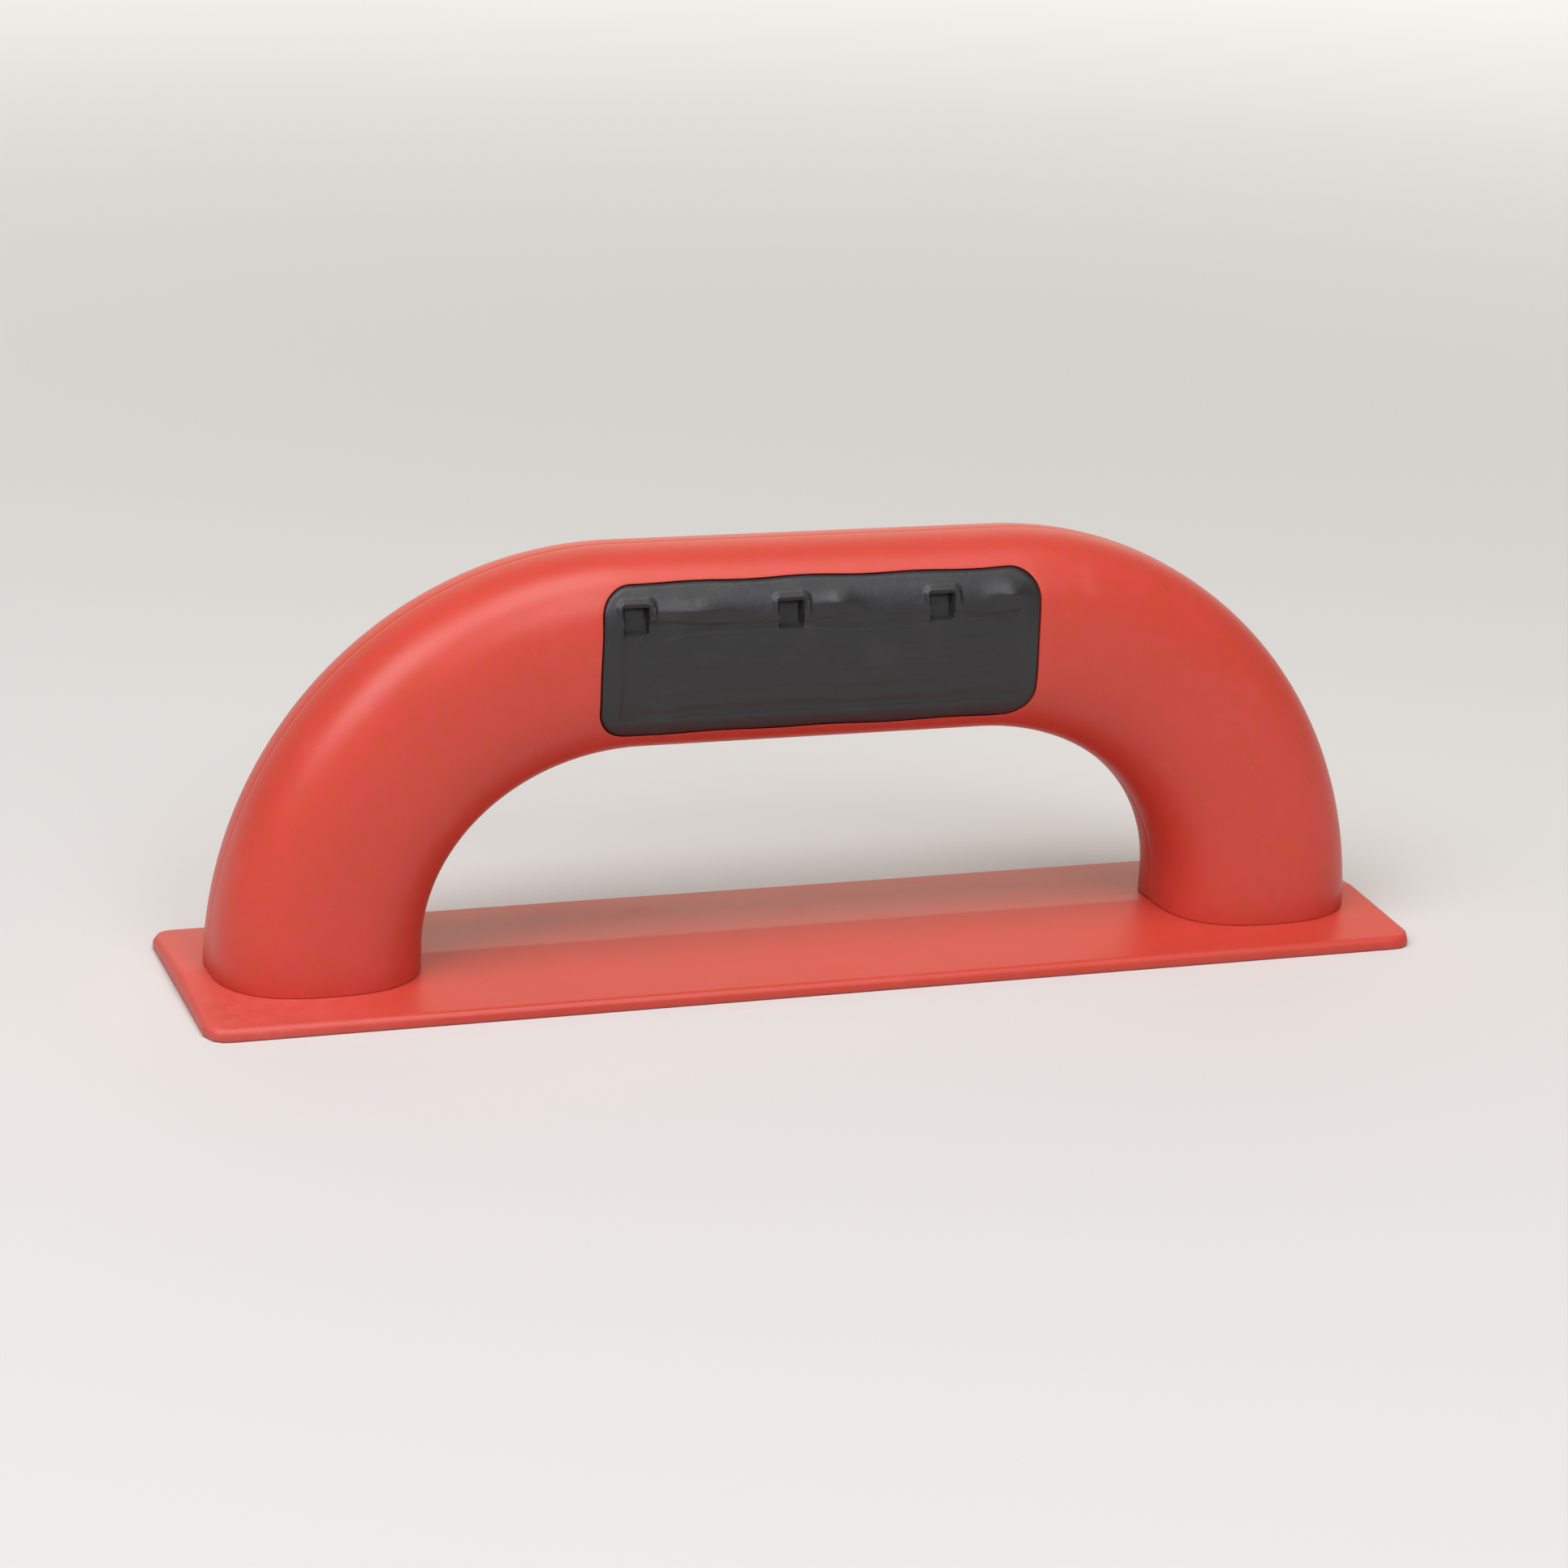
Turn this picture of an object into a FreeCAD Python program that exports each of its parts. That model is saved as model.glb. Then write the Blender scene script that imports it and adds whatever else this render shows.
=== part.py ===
import FreeCAD, Part
import math
import os
import Sketcher

# Plastic hand float: a narrow ridged base plate under a hollow arch handle.
#
# Frame: X along the plate, Y across it (front is -Y), Z up. The origin is the middle of
# the flat working face. The handle is split on the plane Y = 0 into a front and a rear
# shell, each with a soft grip insert let into the middle of the bar.

Vector = FreeCAD.Vector
doc = FreeCAD.newDocument("hand_float")

# name, millimetres (section_power is a plain number), meaning
DIMENSIONS = [
    ("plate_length", 250.0, "base plate, end to end"),
    ("plate_width", 58.6, "base plate, front to back"),
    ("plate_edge", 2.4, "plate thickness at its long edges"),
    ("ridge_rise", 1.7, "rise of the top from the long edges to the middle line"),
    ("corner_radius", 4.5, "plan radius of the plate's corners"),
    ("edge_round", 0.9, "round on the plate's top edges"),
    ("handle_length", 238.8, "outside of one leg to outside of the other, at the plate"),
    ("handle_height", 84.8, "top of the bar above the working face"),
    ("finger_length", 156.0, "clear length between the legs, at the plate"),
    ("finger_height", 45.0, "underside of the bar above the working face"),
    ("shoulder_reach", 79.3, "outer shoulder's quarter ellipse, along the plate"),
    ("outer_straight", 2.5, "height where the outer shoulder starts to curve in"),
    ("crook_reach", 42.5, "inner corner's quarter ellipse, along the plate"),
    ("inner_straight", 8.5, "height where the inner corner starts to curve in"),
    ("foot_depth", 35.8, "leg, front to back, at the plate"),
    ("bar_depth", 31.8, "bar, front to back"),
    ("section_power", 2.57, "squareness of the handle's section: 2 is an ellipse"),
    ("wall", 3.0, "wall of the handle shells"),
    ("seam_gap", 0.1, "air between the two shells at the seam"),
    ("lip_inset", 1.6, "outside of the front shell's seam lip, below the skin"),
    ("lip_height", 1.4, "how far the seam lip stands into the rear shell"),
    ("fit_gap", 0.15, "clearance between pieces that are let into each other"),
    ("seat_gap", 0.05, "air left where two flat faces meet"),
    ("pad_length", 89.6, "grip insert, along the bar"),
    ("pad_height", 30.2, "grip insert, up the bar"),
    ("pad_corner", 6.0, "corner radius of the grip insert"),
    ("pad_shift", -1.6, "middle of the grip insert, along the bar from its middle"),
    ("pad_depth", 2.5, "depth of the grip insert below the handle's skin"),
    ("pad_proud", 0.3, "how far the grip insert stands above the handle's skin"),
    ("floor_wall", 2.2, "wall behind a grip insert"),
    ("stud_radius", 2.3, "stem of a grip insert's studs"),
    ("stud_head_radius", 3.0, "snap head of a grip insert's studs, at its foot"),
    ("stud_tip_radius", 1.6, "snap head, at its tip"),
    ("stud_head_height", 1.4, "snap head, along its axis"),
    ("stud_inner", 15.0, "inner pair of studs, from the middle of the bar"),
    ("stud_outer", 39.0, "outer pair of studs, from the middle of the bar"),
    ("ring_height", 3.0, "locating ring inside each leg, above the plate's ridge"),
    ("ring_wall", 2.0, "wall of the locating ring"),
    ("boss_radius", 4.0, "screw bosses"),
    ("base_screw_offset", 8.0, "base screws, from the seam plane"),
    ("base_boss_top", 21.0, "top of the leg bosses above the working face"),
    ("rib_wall", 1.8, "ribs that tie the bosses to the shells"),
    ("base_screw_length", 16.0, "base screws, head and shank"),
    ("shell_screw_pitch", 30.0, "shell screws, along the bar"),
    ("shell_screw_length", 17.0, "shell screws, under the head"),
    ("screw_radius", 1.75, "crest of the screw threads"),
    ("screw_core", 1.35, "root of the screw threads"),
    ("thread_pitch", 1.6, "thread crests, apart"),
    ("csk_radius", 3.8, "countersunk head"),
    ("csk_rim", 0.3, "flat rim of the countersunk head"),
    ("pan_radius", 3.4, "pan head"),
    ("pan_height", 2.2, "pan head, top to seat"),
    ("pan_flat", 2.5, "radius of the pan head's flat top"),
    ("pan_rim", 1.2, "height of the pan head's upright rim"),
    ("head_recess", 0.3, "shell screw heads, below the floor they sit in"),
    ("drive_span", 3.8, "cross recess, tip to tip"),
    ("drive_slot", 0.9, "cross recess, width of one slot"),
    ("drive_depth", 1.3, "cross recess, deep"),
    ("pin_radius", 1.9, "locating pins in the shoulders"),
    ("pin_length", 4.0, "locating pins, past the seam plane"),
]

SHEET = "Dimensions"


def write_sheet():
    """The driving dimensions, one row each: name, value, meaning."""
    sheet = doc.addObject("Spreadsheet::Sheet", SHEET)
    for row, (name, value, meaning) in enumerate(DIMENSIONS, start=1):
        sheet.set(f"A{row}", name)
        sheet.set(f"B{row}", str(value))
        sheet.set(f"C{row}", meaning)
        sheet.setAlias(f"B{row}", name)
    doc.recompute()
    return sheet


sheet = write_sheet()


def size(name):
    return float(sheet.get(name))


def linked(expression):
    """Turn each <name> in an expression into a reference to the sheet."""
    return expression.replace("<", f"{SHEET}.").replace(">", "")


def value_of(expression):
    """What an expression comes to, worked out from the sheet."""
    for name, _, _ in DIMENSIONS:
        expression = expression.replace(f"<{name}>", repr(size(name)))
    quantity = sheet.evalExpression(expression)
    return float(getattr(quantity, "Value", quantity))


# ---------------------------------------------------------------- document helpers

def bind(obj, **expressions):
    """Bind properties to the sheet; a double underscore stands for a dot."""
    for path, expression in expressions.items():
        obj.setExpression(path.replace("__", "."), linked(str(expression)))
    return obj


def place(obj, x="0", y="0", z="0"):
    return bind(obj, Placement__Base__x=x, Placement__Base__y=y, Placement__Base__z=z)


def box(name, long, deep, tall, x, y, z):
    """A block given by its three sizes and its lowest corner."""
    block = doc.addObject("Part::Box", name)
    bind(block, Length=long, Width=deep, Height=tall)
    return place(block, x, y, z)


def cylinder(name, radius, length, x, y, z, along=Vector(0, 0, 1)):
    """A cylinder from a point of its axis, along a direction."""
    rod = doc.addObject("Part::Cylinder", name)
    rod.Placement.Rotation = FreeCAD.Rotation(Vector(0, 0, 1), along)
    bind(rod, Radius=radius, Height=length)
    return place(rod, x, y, z)


def cone(name, radius_1, radius_2, length, x, y, z, along=Vector(0, 0, 1)):
    """A cone from a point of its axis, along a direction."""
    horn = doc.addObject("Part::Cone", name)
    horn.Placement.Rotation = FreeCAD.Rotation(Vector(0, 0, 1), along)
    bind(horn, Radius1=radius_1, Radius2=radius_2, Height=length)
    return place(horn, x, y, z)


def fuse(name, pieces):
    joined = doc.addObject("Part::MultiFuse", name)
    joined.Shapes = pieces
    return joined


def common(name, first, second):
    shared = doc.addObject("Part::Common", name)
    shared.Base = first
    shared.Tool = second
    return shared


def cut(name, base, tool):
    rest = doc.addObject("Part::Cut", name)
    rest.Base = base
    rest.Tool = tool
    return rest


def sculpted(name, shape):
    """A solid that only Part's own functions can make."""
    feature = doc.addObject("Part::Feature", name)
    feature.Shape = shape
    feature.Placement = FreeCAD.Placement()
    return feature


def origin_plane(body, role):
    return next(item for item in body.Origin.OriginFeatures if item.Role == role)


def outline(body, name, plane, points):
    """A closed sketch of straight lines through points, each a pair of expressions."""
    sketch = body.newObject("Sketcher::SketchObject", name)
    sketch.AttachmentSupport = [(origin_plane(body, plane), "")]
    sketch.MapMode = "FlatFace"
    values = [[value_of(expression) for expression in point] for point in points]
    for start, end in zip(values, values[1:] + values[:1]):
        line = Part.LineSegment(Vector(*start, 0), Vector(*end, 0))
        sketch.addGeometry(line, False)
    count = len(points)
    for index in range(count):
        link = Sketcher.Constraint("Coincident", index, 2, (index + 1) % count, 1)
        sketch.addConstraint(link)
    for index, point in enumerate(points):
        for kind, axis, expression, value in (
            ("DistanceX", -2, point[0], values[index][0]),
            ("DistanceY", -1, point[1], values[index][1]),
        ):
            if value == 0:
                sketch.addConstraint(Sketcher.Constraint("PointOnObject", index, 1, axis))
                continue
            number = sketch.addConstraint(
                Sketcher.Constraint(kind, -1, 1, index, 1, value)
            )
            sketch.setExpression(f"Constraints[{number}]", linked(expression))
    return sketch


# ---------------------------------------------------------------- the arch

LEG_STATIONS = 4       # sections up each leg's straight foot
SHOULDER_STATIONS = 9  # sections round each shoulder
BAR_STATIONS = 4       # sections from a shoulder to the middle of the bar
ARC_STEPS = 14         # steps round half a section


def profile_point(reach, height, length, straight, stage, share):
    """A point of the left half of an arch's outline, as (x, z).

    Stage 0 goes up the leg, stage 1 round the quarter ellipse and stage 2 along the
    bar to its middle; share runs from 0 to 1 in each stage.
    """
    half = length / 2
    if stage == 0:
        return -half, straight * share
    if stage == 1:
        turn = math.pi / 2 * share
        return (-(half - reach) - reach * math.cos(turn),
                straight + (height - straight) * math.sin(turn))
    return -(half - reach) * (1 - share), height


def stations():
    """Outer and inner outline points of every section, left foot to right foot."""
    stages = [(stage, step / count)
              for stage, count in enumerate((LEG_STATIONS, SHOULDER_STATIONS, BAR_STATIONS))
              for step in range(count)] + [(2, 1.0)]
    pairs = []
    for stage, share in stages:
        outer = profile_point(size("shoulder_reach"), size("handle_height"),
                              size("handle_length"), size("outer_straight"),
                              stage, share)
        inner = profile_point(size("crook_reach"), size("finger_height"),
                              size("finger_length"), size("inner_straight"),
                              stage, share)
        pairs.append((outer, inner))
    mirrored = [((-outer[0], outer[1]), (-inner[0], inner[1]))
                for outer, inner in reversed(pairs[:-1])]
    return pairs + mirrored


def depth_at(height):
    """The handle's depth where the middle of its section is this high."""
    top = (size("handle_height") + size("finger_height")) / 2
    foot = size("plate_edge")
    rise = (height - foot) / (top - foot)
    return size("foot_depth") + (size("bar_depth") - size("foot_depth")) * rise


def half_section(outer, inner, side, inset):
    """Points round half of a squarish oval, from its outer end to its inner end."""
    middle = Vector((outer[0] + inner[0]) / 2, 0, (outer[1] + inner[1]) / 2)
    spoke = Vector(outer[0], 0, outer[1]) - middle
    spoke = spoke * ((spoke.Length - inset) / spoke.Length)
    half_depth = side * (depth_at(middle.z) / 2 - inset)
    power = 2 / size("section_power")
    points = [middle + spoke]
    for step in range(1, ARC_STEPS):
        turn = math.pi * step / ARC_STEPS
        along = math.copysign(abs(math.cos(turn)) ** power, math.cos(turn))
        points.append(middle + spoke * along
                      + Vector(0, half_depth * math.sin(turn) ** power, 0))
    return points + [middle - spoke]


def half_arch(name, side, inset=0.0):
    """Half of the handle as a solid on one side of the seam plane, drawn in by inset."""
    surface = Part.BSplineSurface()
    surface.interpolate([half_section(outer, inner, side, inset)
                         for outer, inner in stations()])
    skin = surface.toShape()
    seam = [edge for edge in skin.Edges if edge.BoundBox.YLength < 1]
    feet = [edge for edge in skin.Edges if edge.BoundBox.YLength > 1]
    soles = [Part.makeLine(foot.Vertexes[0].Point, foot.Vertexes[-1].Point)
             for foot in feet]
    loops = [[foot, sole] for foot, sole in zip(feet, soles)] + [seam + soles]
    faces = [Part.Face(Part.Wire(Part.__sortEdges__(loop))) for loop in loops]
    shell = Part.Shell([skin] + faces)
    shell.sewShape()
    solid = Part.Solid(shell)
    if solid.Volume < 0:
        solid.reverse()
    return sculpted(name, solid)


def shoulder_middle():
    """Middle of the right leg's section halfway round the shoulder, as (x, z)."""
    outer, inner = stations()[LEG_STATIONS + SHOULDER_STATIONS // 2]
    return -(outer[0] + inner[0]) / 2, (outer[1] + inner[1]) / 2


# ---------------------------------------------------------------- named places

FRONT, REAR = -1, 1
FACES = ((FRONT, "front"), (REAR, "rear"))
ENDS = ((-1, "left"), (1, "right"))
TOWARDS_FRONT = Vector(0, -1, 0)
TOWARDS_REAR = Vector(0, 1, 0)
OVERLAP = "1"  # how far joined solids run into each other

LEG_MIDDLE = "((<handle_length> + <finger_length>) / 4)"
BAR_MIDDLE = "((<handle_height> + <finger_height>) / 2)"
RIDGE_TOP = "(<plate_edge> + <ridge_rise>)"
FLOOR_FACE = "(<bar_depth> / 2 - <pad_depth> - <fit_gap>)"
FLOOR_BACK = f"({FLOOR_FACE} - <floor_wall>)"
RING_TOP = f"({RIDGE_TOP} + <ring_height>)"
HOLE_RADIUS = "(<screw_radius> + <fit_gap>)"


def signed(side, expression):
    """An expression, or its negative on the left or front."""
    return f"({expression})" if side > 0 else f"-({expression})"


def outwards(side):
    return TOWARDS_REAR if side > 0 else TOWARDS_FRONT


def inwards(side):
    return TOWARDS_FRONT if side > 0 else TOWARDS_REAR


# ---------------------------------------------------------------- base plate

def gable_body(name, length, lift="0"):
    """A bar with the plate's flat-bottomed, roof-topped end outline."""
    body = doc.addObject("PartDesign::Body", name)
    half = "<plate_width> / 2"
    ends = outline(body, f"{name}_outline", "YZ_Plane", [
        (f"-{half}", "0"),
        (half, "0"),
        (half, f"<plate_edge> + {lift}"),
        ("0", f"<plate_edge> + <ridge_rise> + {lift}"),
        (f"-{half}", f"<plate_edge> + {lift}"),
    ])
    pad = body.newObject("PartDesign::Pad", f"{name}_length")
    pad.Profile = ends
    bind(pad, Length=length)
    pad.SideType = "Symmetric"
    doc.recompute()
    return body


def rounded(body, name, edges, radius):
    """Round the chosen edges of a body's tip."""
    base = body.Tip
    fillet = body.newObject("PartDesign::Fillet", name)
    fillet.Base = (base, edges)
    bind(fillet, Radius=radius)
    doc.recompute()
    return fillet


def edge_names(shape, wanted):
    return [f"Edge{number}" for number, edge in enumerate(shape.Edges, start=1)
            if wanted(edge.BoundBox)]


def plate_slab():
    """The plate itself, with round corners and soft top edges."""
    body = gable_body("plate_slab", "<plate_length>")
    corners = edge_names(body.Shape, lambda b: b.XLength < 1e-4 and b.YLength < 1e-4)
    rounded(body, "plate_corners", corners, "<corner_radius>")
    rim_height = size("plate_edge") - 1e-3
    rim = edge_names(body.Shape,
                     lambda b: b.ZMin > rim_height and max(b.YMax, -b.YMin) > 1)
    rounded(body, "plate_rim", rim, "<edge_round>")
    return body


def locating_ring(end, label):
    """A low wall on the plate that stands inside one leg's foot."""
    halves = []
    for side, face in FACES:
        outside = half_arch(f"{label}_{face}_ring_outside", side,
                            size("wall") + size("fit_gap"))
        inside = half_arch(f"{label}_{face}_ring_inside", side,
                           size("wall") + size("fit_gap") + size("ring_wall"))
        halves.append(cut(f"{label}_{face}_ring_wall", outside, inside))
    start = "-<handle_length> / 2" if end < 0 else "0"
    zone = box(f"{label}_ring_zone", "<handle_length> / 2", "<plate_width>",
               f"{RING_TOP} - {OVERLAP}", start, "-<plate_width> / 2", OVERLAP)
    rooms = [cylinder(f"{name}_boss_room", "<boss_radius> + <fit_gap>", RING_TOP,
                      x, y, "0")
             for name, x, y in base_screw_places() if name.startswith(label)]
    walls = cut(f"{label}_ring_walls", fuse(f"{label}_ring_halves", halves),
                fuse(f"{label}_boss_rooms", rooms))
    return common(f"{label}_ring", walls, zone)


def base_screw_places():
    """Name, x and y of each screw that holds a leg down."""
    for end, end_name in ENDS:
        for side, side_name in FACES:
            yield (f"{end_name}_{side_name}", signed(end, LEG_MIDDLE),
                   signed(side, "<base_screw_offset>"))


def base_plate():
    rings = [locating_ring(end, label) for end, label in ENDS]
    holes = []
    for label, x, y in base_screw_places():
        holes.append(cylinder(f"{label}_plate_hole", HOLE_RADIUS, RING_TOP, x, y, "0"))
        sink = "(<csk_radius> + <fit_gap>)"
        holes.append(cylinder(f"{label}_plate_rim", sink, "<csk_rim>", x, y, "0"))
        holes.append(cone(f"{label}_plate_sink", sink, HOLE_RADIUS,
                          f"{sink} - {HOLE_RADIUS}", x, y, "<csk_rim>"))
    solid = fuse("plate_with_rings", [plate_slab()] + rings)
    return cut("base_plate", solid, fuse("plate_holes", holes))


# ---------------------------------------------------------------- screws

def thread_points(start, length):
    """Half outline of a threaded shank from a height upwards, ending in a point."""
    points = []
    turns = int((value_of(length) - value_of("2 * <thread_pitch>"))
                // size("thread_pitch"))
    for turn in range(turns):
        foot = f"{start} + {turn} * <thread_pitch>"
        points.append(("<screw_core>", foot))
        points.append(("<screw_radius>", f"{foot} + <thread_pitch> / 2"))
    points.append(("<screw_core>", f"{start} + {turns} * <thread_pitch>"))
    points.append(("0", f"{start} + {length}"))
    return points


def screw(name, head_points, shank_start, shank_length):
    """A self-tapping screw standing on its head, with a cross recess."""
    body = doc.addObject("PartDesign::Body", name)
    half = outline(body, f"{name}_outline", "XZ_Plane",
                   head_points + thread_points(shank_start, shank_length))
    turned = body.newObject("PartDesign::Revolution", f"{name}_turned")
    turned.Profile = half
    turned.ReferenceAxis = (half, ["V_Axis"])
    turned.Angle = 360
    doc.recompute()
    span, slot = "<drive_span> / 2", "<drive_slot> / 2"
    cross = outline(body, f"{name}_cross", "XY_Plane", [
        (span, f"-{slot}"), (span, slot), (slot, slot), (slot, span),
        (f"-{slot}", span), (f"-{slot}", slot), (f"-{span}", slot),
        (f"-{span}", f"-{slot}"), (f"-{slot}", f"-{slot}"), (f"-{slot}", f"-{span}"),
        (slot, f"-{span}"), (slot, f"-{slot}"),
    ])
    before = body.Shape.Volume
    recess = body.newObject("PartDesign::Pocket", f"{name}_recess")
    recess.Profile = cross
    bind(recess, Length="<drive_depth>")
    recess.Reversed = True
    doc.recompute()
    if body.Shape.Volume >= before:
        raise RuntimeError(f"{name}: the cross recess cuts nothing")
    return body


def countersunk_screw(name):
    head = "(<csk_rim> + <csk_radius> - <screw_core>)"
    return screw(name, [("0", "0"), ("<csk_radius>", "0"), ("<csk_radius>", "<csk_rim>")],
                 head, f"(<base_screw_length> - {head})")


def pan_screw(name):
    return screw(name, [("0", "0"), ("<pan_flat>", "0"),
                        ("<pan_radius>", "<pan_height> - <pan_rim>"),
                        ("<pan_radius>", "<pan_height>"),
                        ("<screw_core>", "<pan_height>")],
                 "(<pan_height> + <thread_pitch> / 4)",
                 "(<shell_screw_length> - <thread_pitch> / 4)")


def group(name, bodies):
    """Like pieces kept as separate solids of one node."""
    together = doc.addObject("Part::Compound", name)
    together.Links = bodies
    return together


def base_screws():
    screws = []
    for label, x, y in base_screw_places():
        body = countersunk_screw(f"{label}_base_screw")
        screws.append(place(body, x, y, "<seat_gap>"))
    return group("base_screws", screws)


def shell_screw_places():
    """Name and x of each screw along the bar."""
    for step, label in ((-1, "left"), (0, "middle"), (1, "right")):
        yield label, f"{step} * <shell_screw_pitch>"


HEAD_TOP = f"({FLOOR_FACE} - <head_recess>)"


def shell_screws():
    screws = []
    for label, x in shell_screw_places():
        body = pan_screw(f"{label}_shell_screw")
        body.Placement.Rotation = FreeCAD.Rotation(Vector(0, 0, 1), TOWARDS_FRONT)
        screws.append(place(body, x, HEAD_TOP, BAR_MIDDLE))
    return group("shell_screws", screws)


# ---------------------------------------------------------------- handle shells

def pad_prism(name, side, grow, start="0"):
    """A round-cornered block through one face of the bar, from start outwards."""
    body = doc.addObject("PartDesign::Body", name)
    long, tall = f"(<pad_length> / 2 + {grow})", f"(<pad_height> / 2 + {grow})"
    low, high = f"{BAR_MIDDLE} - {tall}", f"{BAR_MIDDLE} + {tall}"
    left, right = f"<pad_shift> - {long}", f"<pad_shift> + {long}"
    face = outline(body, f"{name}_outline", "XZ_Plane",
                   [(left, low), (right, low), (right, high), (left, high)])
    block = body.newObject("PartDesign::Pad", f"{name}_block")
    block.Profile = face
    bind(block, Length="<foot_depth>")
    block.Reversed = side > 0
    doc.recompute()
    corners = edge_names(body.Shape, lambda b: b.XLength < 1e-4 and b.ZLength < 1e-4)
    rounded(body, f"{name}_corners", corners, f"<pad_corner> + {grow}")
    if body.Shape.BoundBox.Center.y * side < 0:
        raise RuntimeError(f"{name}: the block points the wrong way")
    return place(body, "0", signed(side, start))


def pad_floor(side, face):
    """The wall behind a grip insert, joined to the shell all round."""
    grown = pad_prism(f"{face}_floor_block", side, "<floor_wall>",
                      "<lip_height> + <fit_gap> * 2")
    skin = half_arch(f"{face}_floor_skin", side, size("wall") / 2)
    depth = size("pad_depth") + size("fit_gap") + size("floor_wall")
    core = half_arch(f"{face}_floor_core", side, depth)
    return cut(f"{face}_floor", common(f"{face}_floor_slab", grown, skin), core)


def pad_pocket(side, face):
    """What is cut from a shell to let a grip insert in."""
    block = pad_prism(f"{face}_pocket_block", side, "<fit_gap>")
    core = half_arch(f"{face}_pocket_core", side, size("pad_depth") + size("fit_gap"))
    return cut(f"{face}_pocket", block, core)


def stud_places():
    """Name and x of each stud that snaps a grip insert into its floor."""
    for end, label in ENDS:
        for kind in ("inner", "outer"):
            yield f"{label}_{kind}", signed(end, f"<stud_{kind}>")


def stud_holes(side, face):
    radius = "(<stud_radius> + <fit_gap>)"
    return [cylinder(f"{face}_{label}_stud_hole", radius, "<foot_depth>",
                     x, signed(side, f"{FLOOR_BACK} - {OVERLAP}"), BAR_MIDDLE,
                     outwards(side))
            for label, x in stud_places()]


def leg_frame(side, face):
    """Screw bosses in both feet of a shell, tied to its walls by crossed ribs."""
    pieces = []
    offset = signed(side, "<base_screw_offset>")
    for end, label in ENDS:
        x = signed(end, LEG_MIDDLE)
        name = f"{label}_{face}"
        height = "<base_boss_top> - <plate_edge>"
        pieces.append(cylinder(f"{name}_leg_boss", "<boss_radius>", height,
                               x, offset, "<plate_edge>"))
        rib_foot = f"({RING_TOP} + <fit_gap>)"
        rib_height = f"<base_boss_top> - {rib_foot}"
        pieces.append(box(f"{name}_long_rib", "<handle_length> / 4", "<rib_wall>",
                          rib_height, f"{x} - <handle_length> / 8",
                          f"{offset} - <rib_wall> / 2", rib_foot))
        near = offset if side > 0 else "-<foot_depth> / 2"
        pieces.append(box(f"{name}_cross_rib", "<rib_wall>",
                          "<foot_depth> / 2 - <base_screw_offset>", rib_height,
                          f"{x} - <rib_wall> / 2", near, rib_foot))
    skin = half_arch(f"{face}_rib_skin", side, size("wall") / 2)
    return common(f"{face}_leg_frame", fuse(f"{face}_leg_pieces", pieces), skin)


def leg_holes(face):
    return [cylinder(f"{label}_leg_hole", HOLE_RADIUS, "<base_screw_length> + 1",
                     x, y, "0")
            for label, x, y in base_screw_places() if label.endswith(face)]


def bar_bosses(side, face, radius):
    """Bosses from a pad's floor to the seam plane, one for each shell screw."""
    length = f"{FLOOR_FACE} - <floor_wall> / 2 - <seam_gap> / 2"
    return [cylinder(f"{face}_{label}_bar_boss", radius, length,
                     x, signed(side, "<seam_gap> / 2"), BAR_MIDDLE, outwards(side))
            for label, x in shell_screw_places()]


def pin_bosses(side, face):
    """A boss in the middle of each shoulder, from the wall to the seam plane."""
    bosses = []
    reach, height = shoulder_middle()
    length = "<bar_depth> / 2 - <wall> / 2"
    for end, label in ENDS:
        bosses.append(cylinder(f"{face}_{label}_pin_boss", "<boss_radius>", length,
                               str(end * reach), signed(side, "<seam_gap> / 2"),
                               str(height), outwards(side)))
    return bosses


def pins(name, radius, length):
    """Round pins, or the tools for their sockets, across the seam in each shoulder."""
    reach, height = shoulder_middle()
    return [cylinder(f"{label}_{name}", radius, f"{length} + {OVERLAP}",
                     str(end * reach), f"-{OVERLAP}", str(height), TOWARDS_REAR)
            for end, label in ENDS]


def ground(name):
    """Everything below the top of the plate, which the feet are trimmed to."""
    return gable_body(name, "<plate_length>", "<seat_gap>")


def seam_lip():
    """The thin lip that the front shell stands into the rear shell all along the seam."""
    outside = half_arch("lip_outside", REAR, size("lip_inset"))
    zone = seam_zone("lip_zone", "<lip_height>")
    core = half_arch("lip_core", REAR, size("wall"))
    return cut("seam_lip", common("lip_strip", outside, zone), core)


def seam_zone(name, depth):
    """A slab just behind the seam plane, as large as the handle."""
    return box(name, "<handle_length>", depth, "<handle_height>",
               "-<handle_length> / 2", "0", "0")


def hollow_half(side, face):
    """One half of the handle with its walls only."""
    return cut(f"{face}_walls", half_arch(f"{face}_skin", side),
               half_arch(f"{face}_hollow", side, size("wall")))


def handle_front_shell():
    face, side = "front", FRONT
    solid = fuse("front_assembled",
                 [hollow_half(side, face), seam_lip(), pad_floor(side, face),
                  leg_frame(side, face)]
                 + bar_bosses(side, face, "<boss_radius>")
                 + pin_bosses(side, face)
                 + pins("pin", "<pin_radius>", "<pin_length>"))
    thread_depth = "(<shell_screw_length> + <pan_height> + 1)"
    pilots = [cylinder(f"{label}_pilot", HOLE_RADIUS, thread_depth, x, HEAD_TOP,
                       BAR_MIDDLE, TOWARDS_FRONT)
              for label, x in shell_screw_places()]
    tools = fuse("front_tools", [pad_pocket(side, face), ground("front_ground")]
                 + stud_holes(side, face) + leg_holes(face) + pilots)
    return cut("handle_front_shell", solid, tools)


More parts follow.
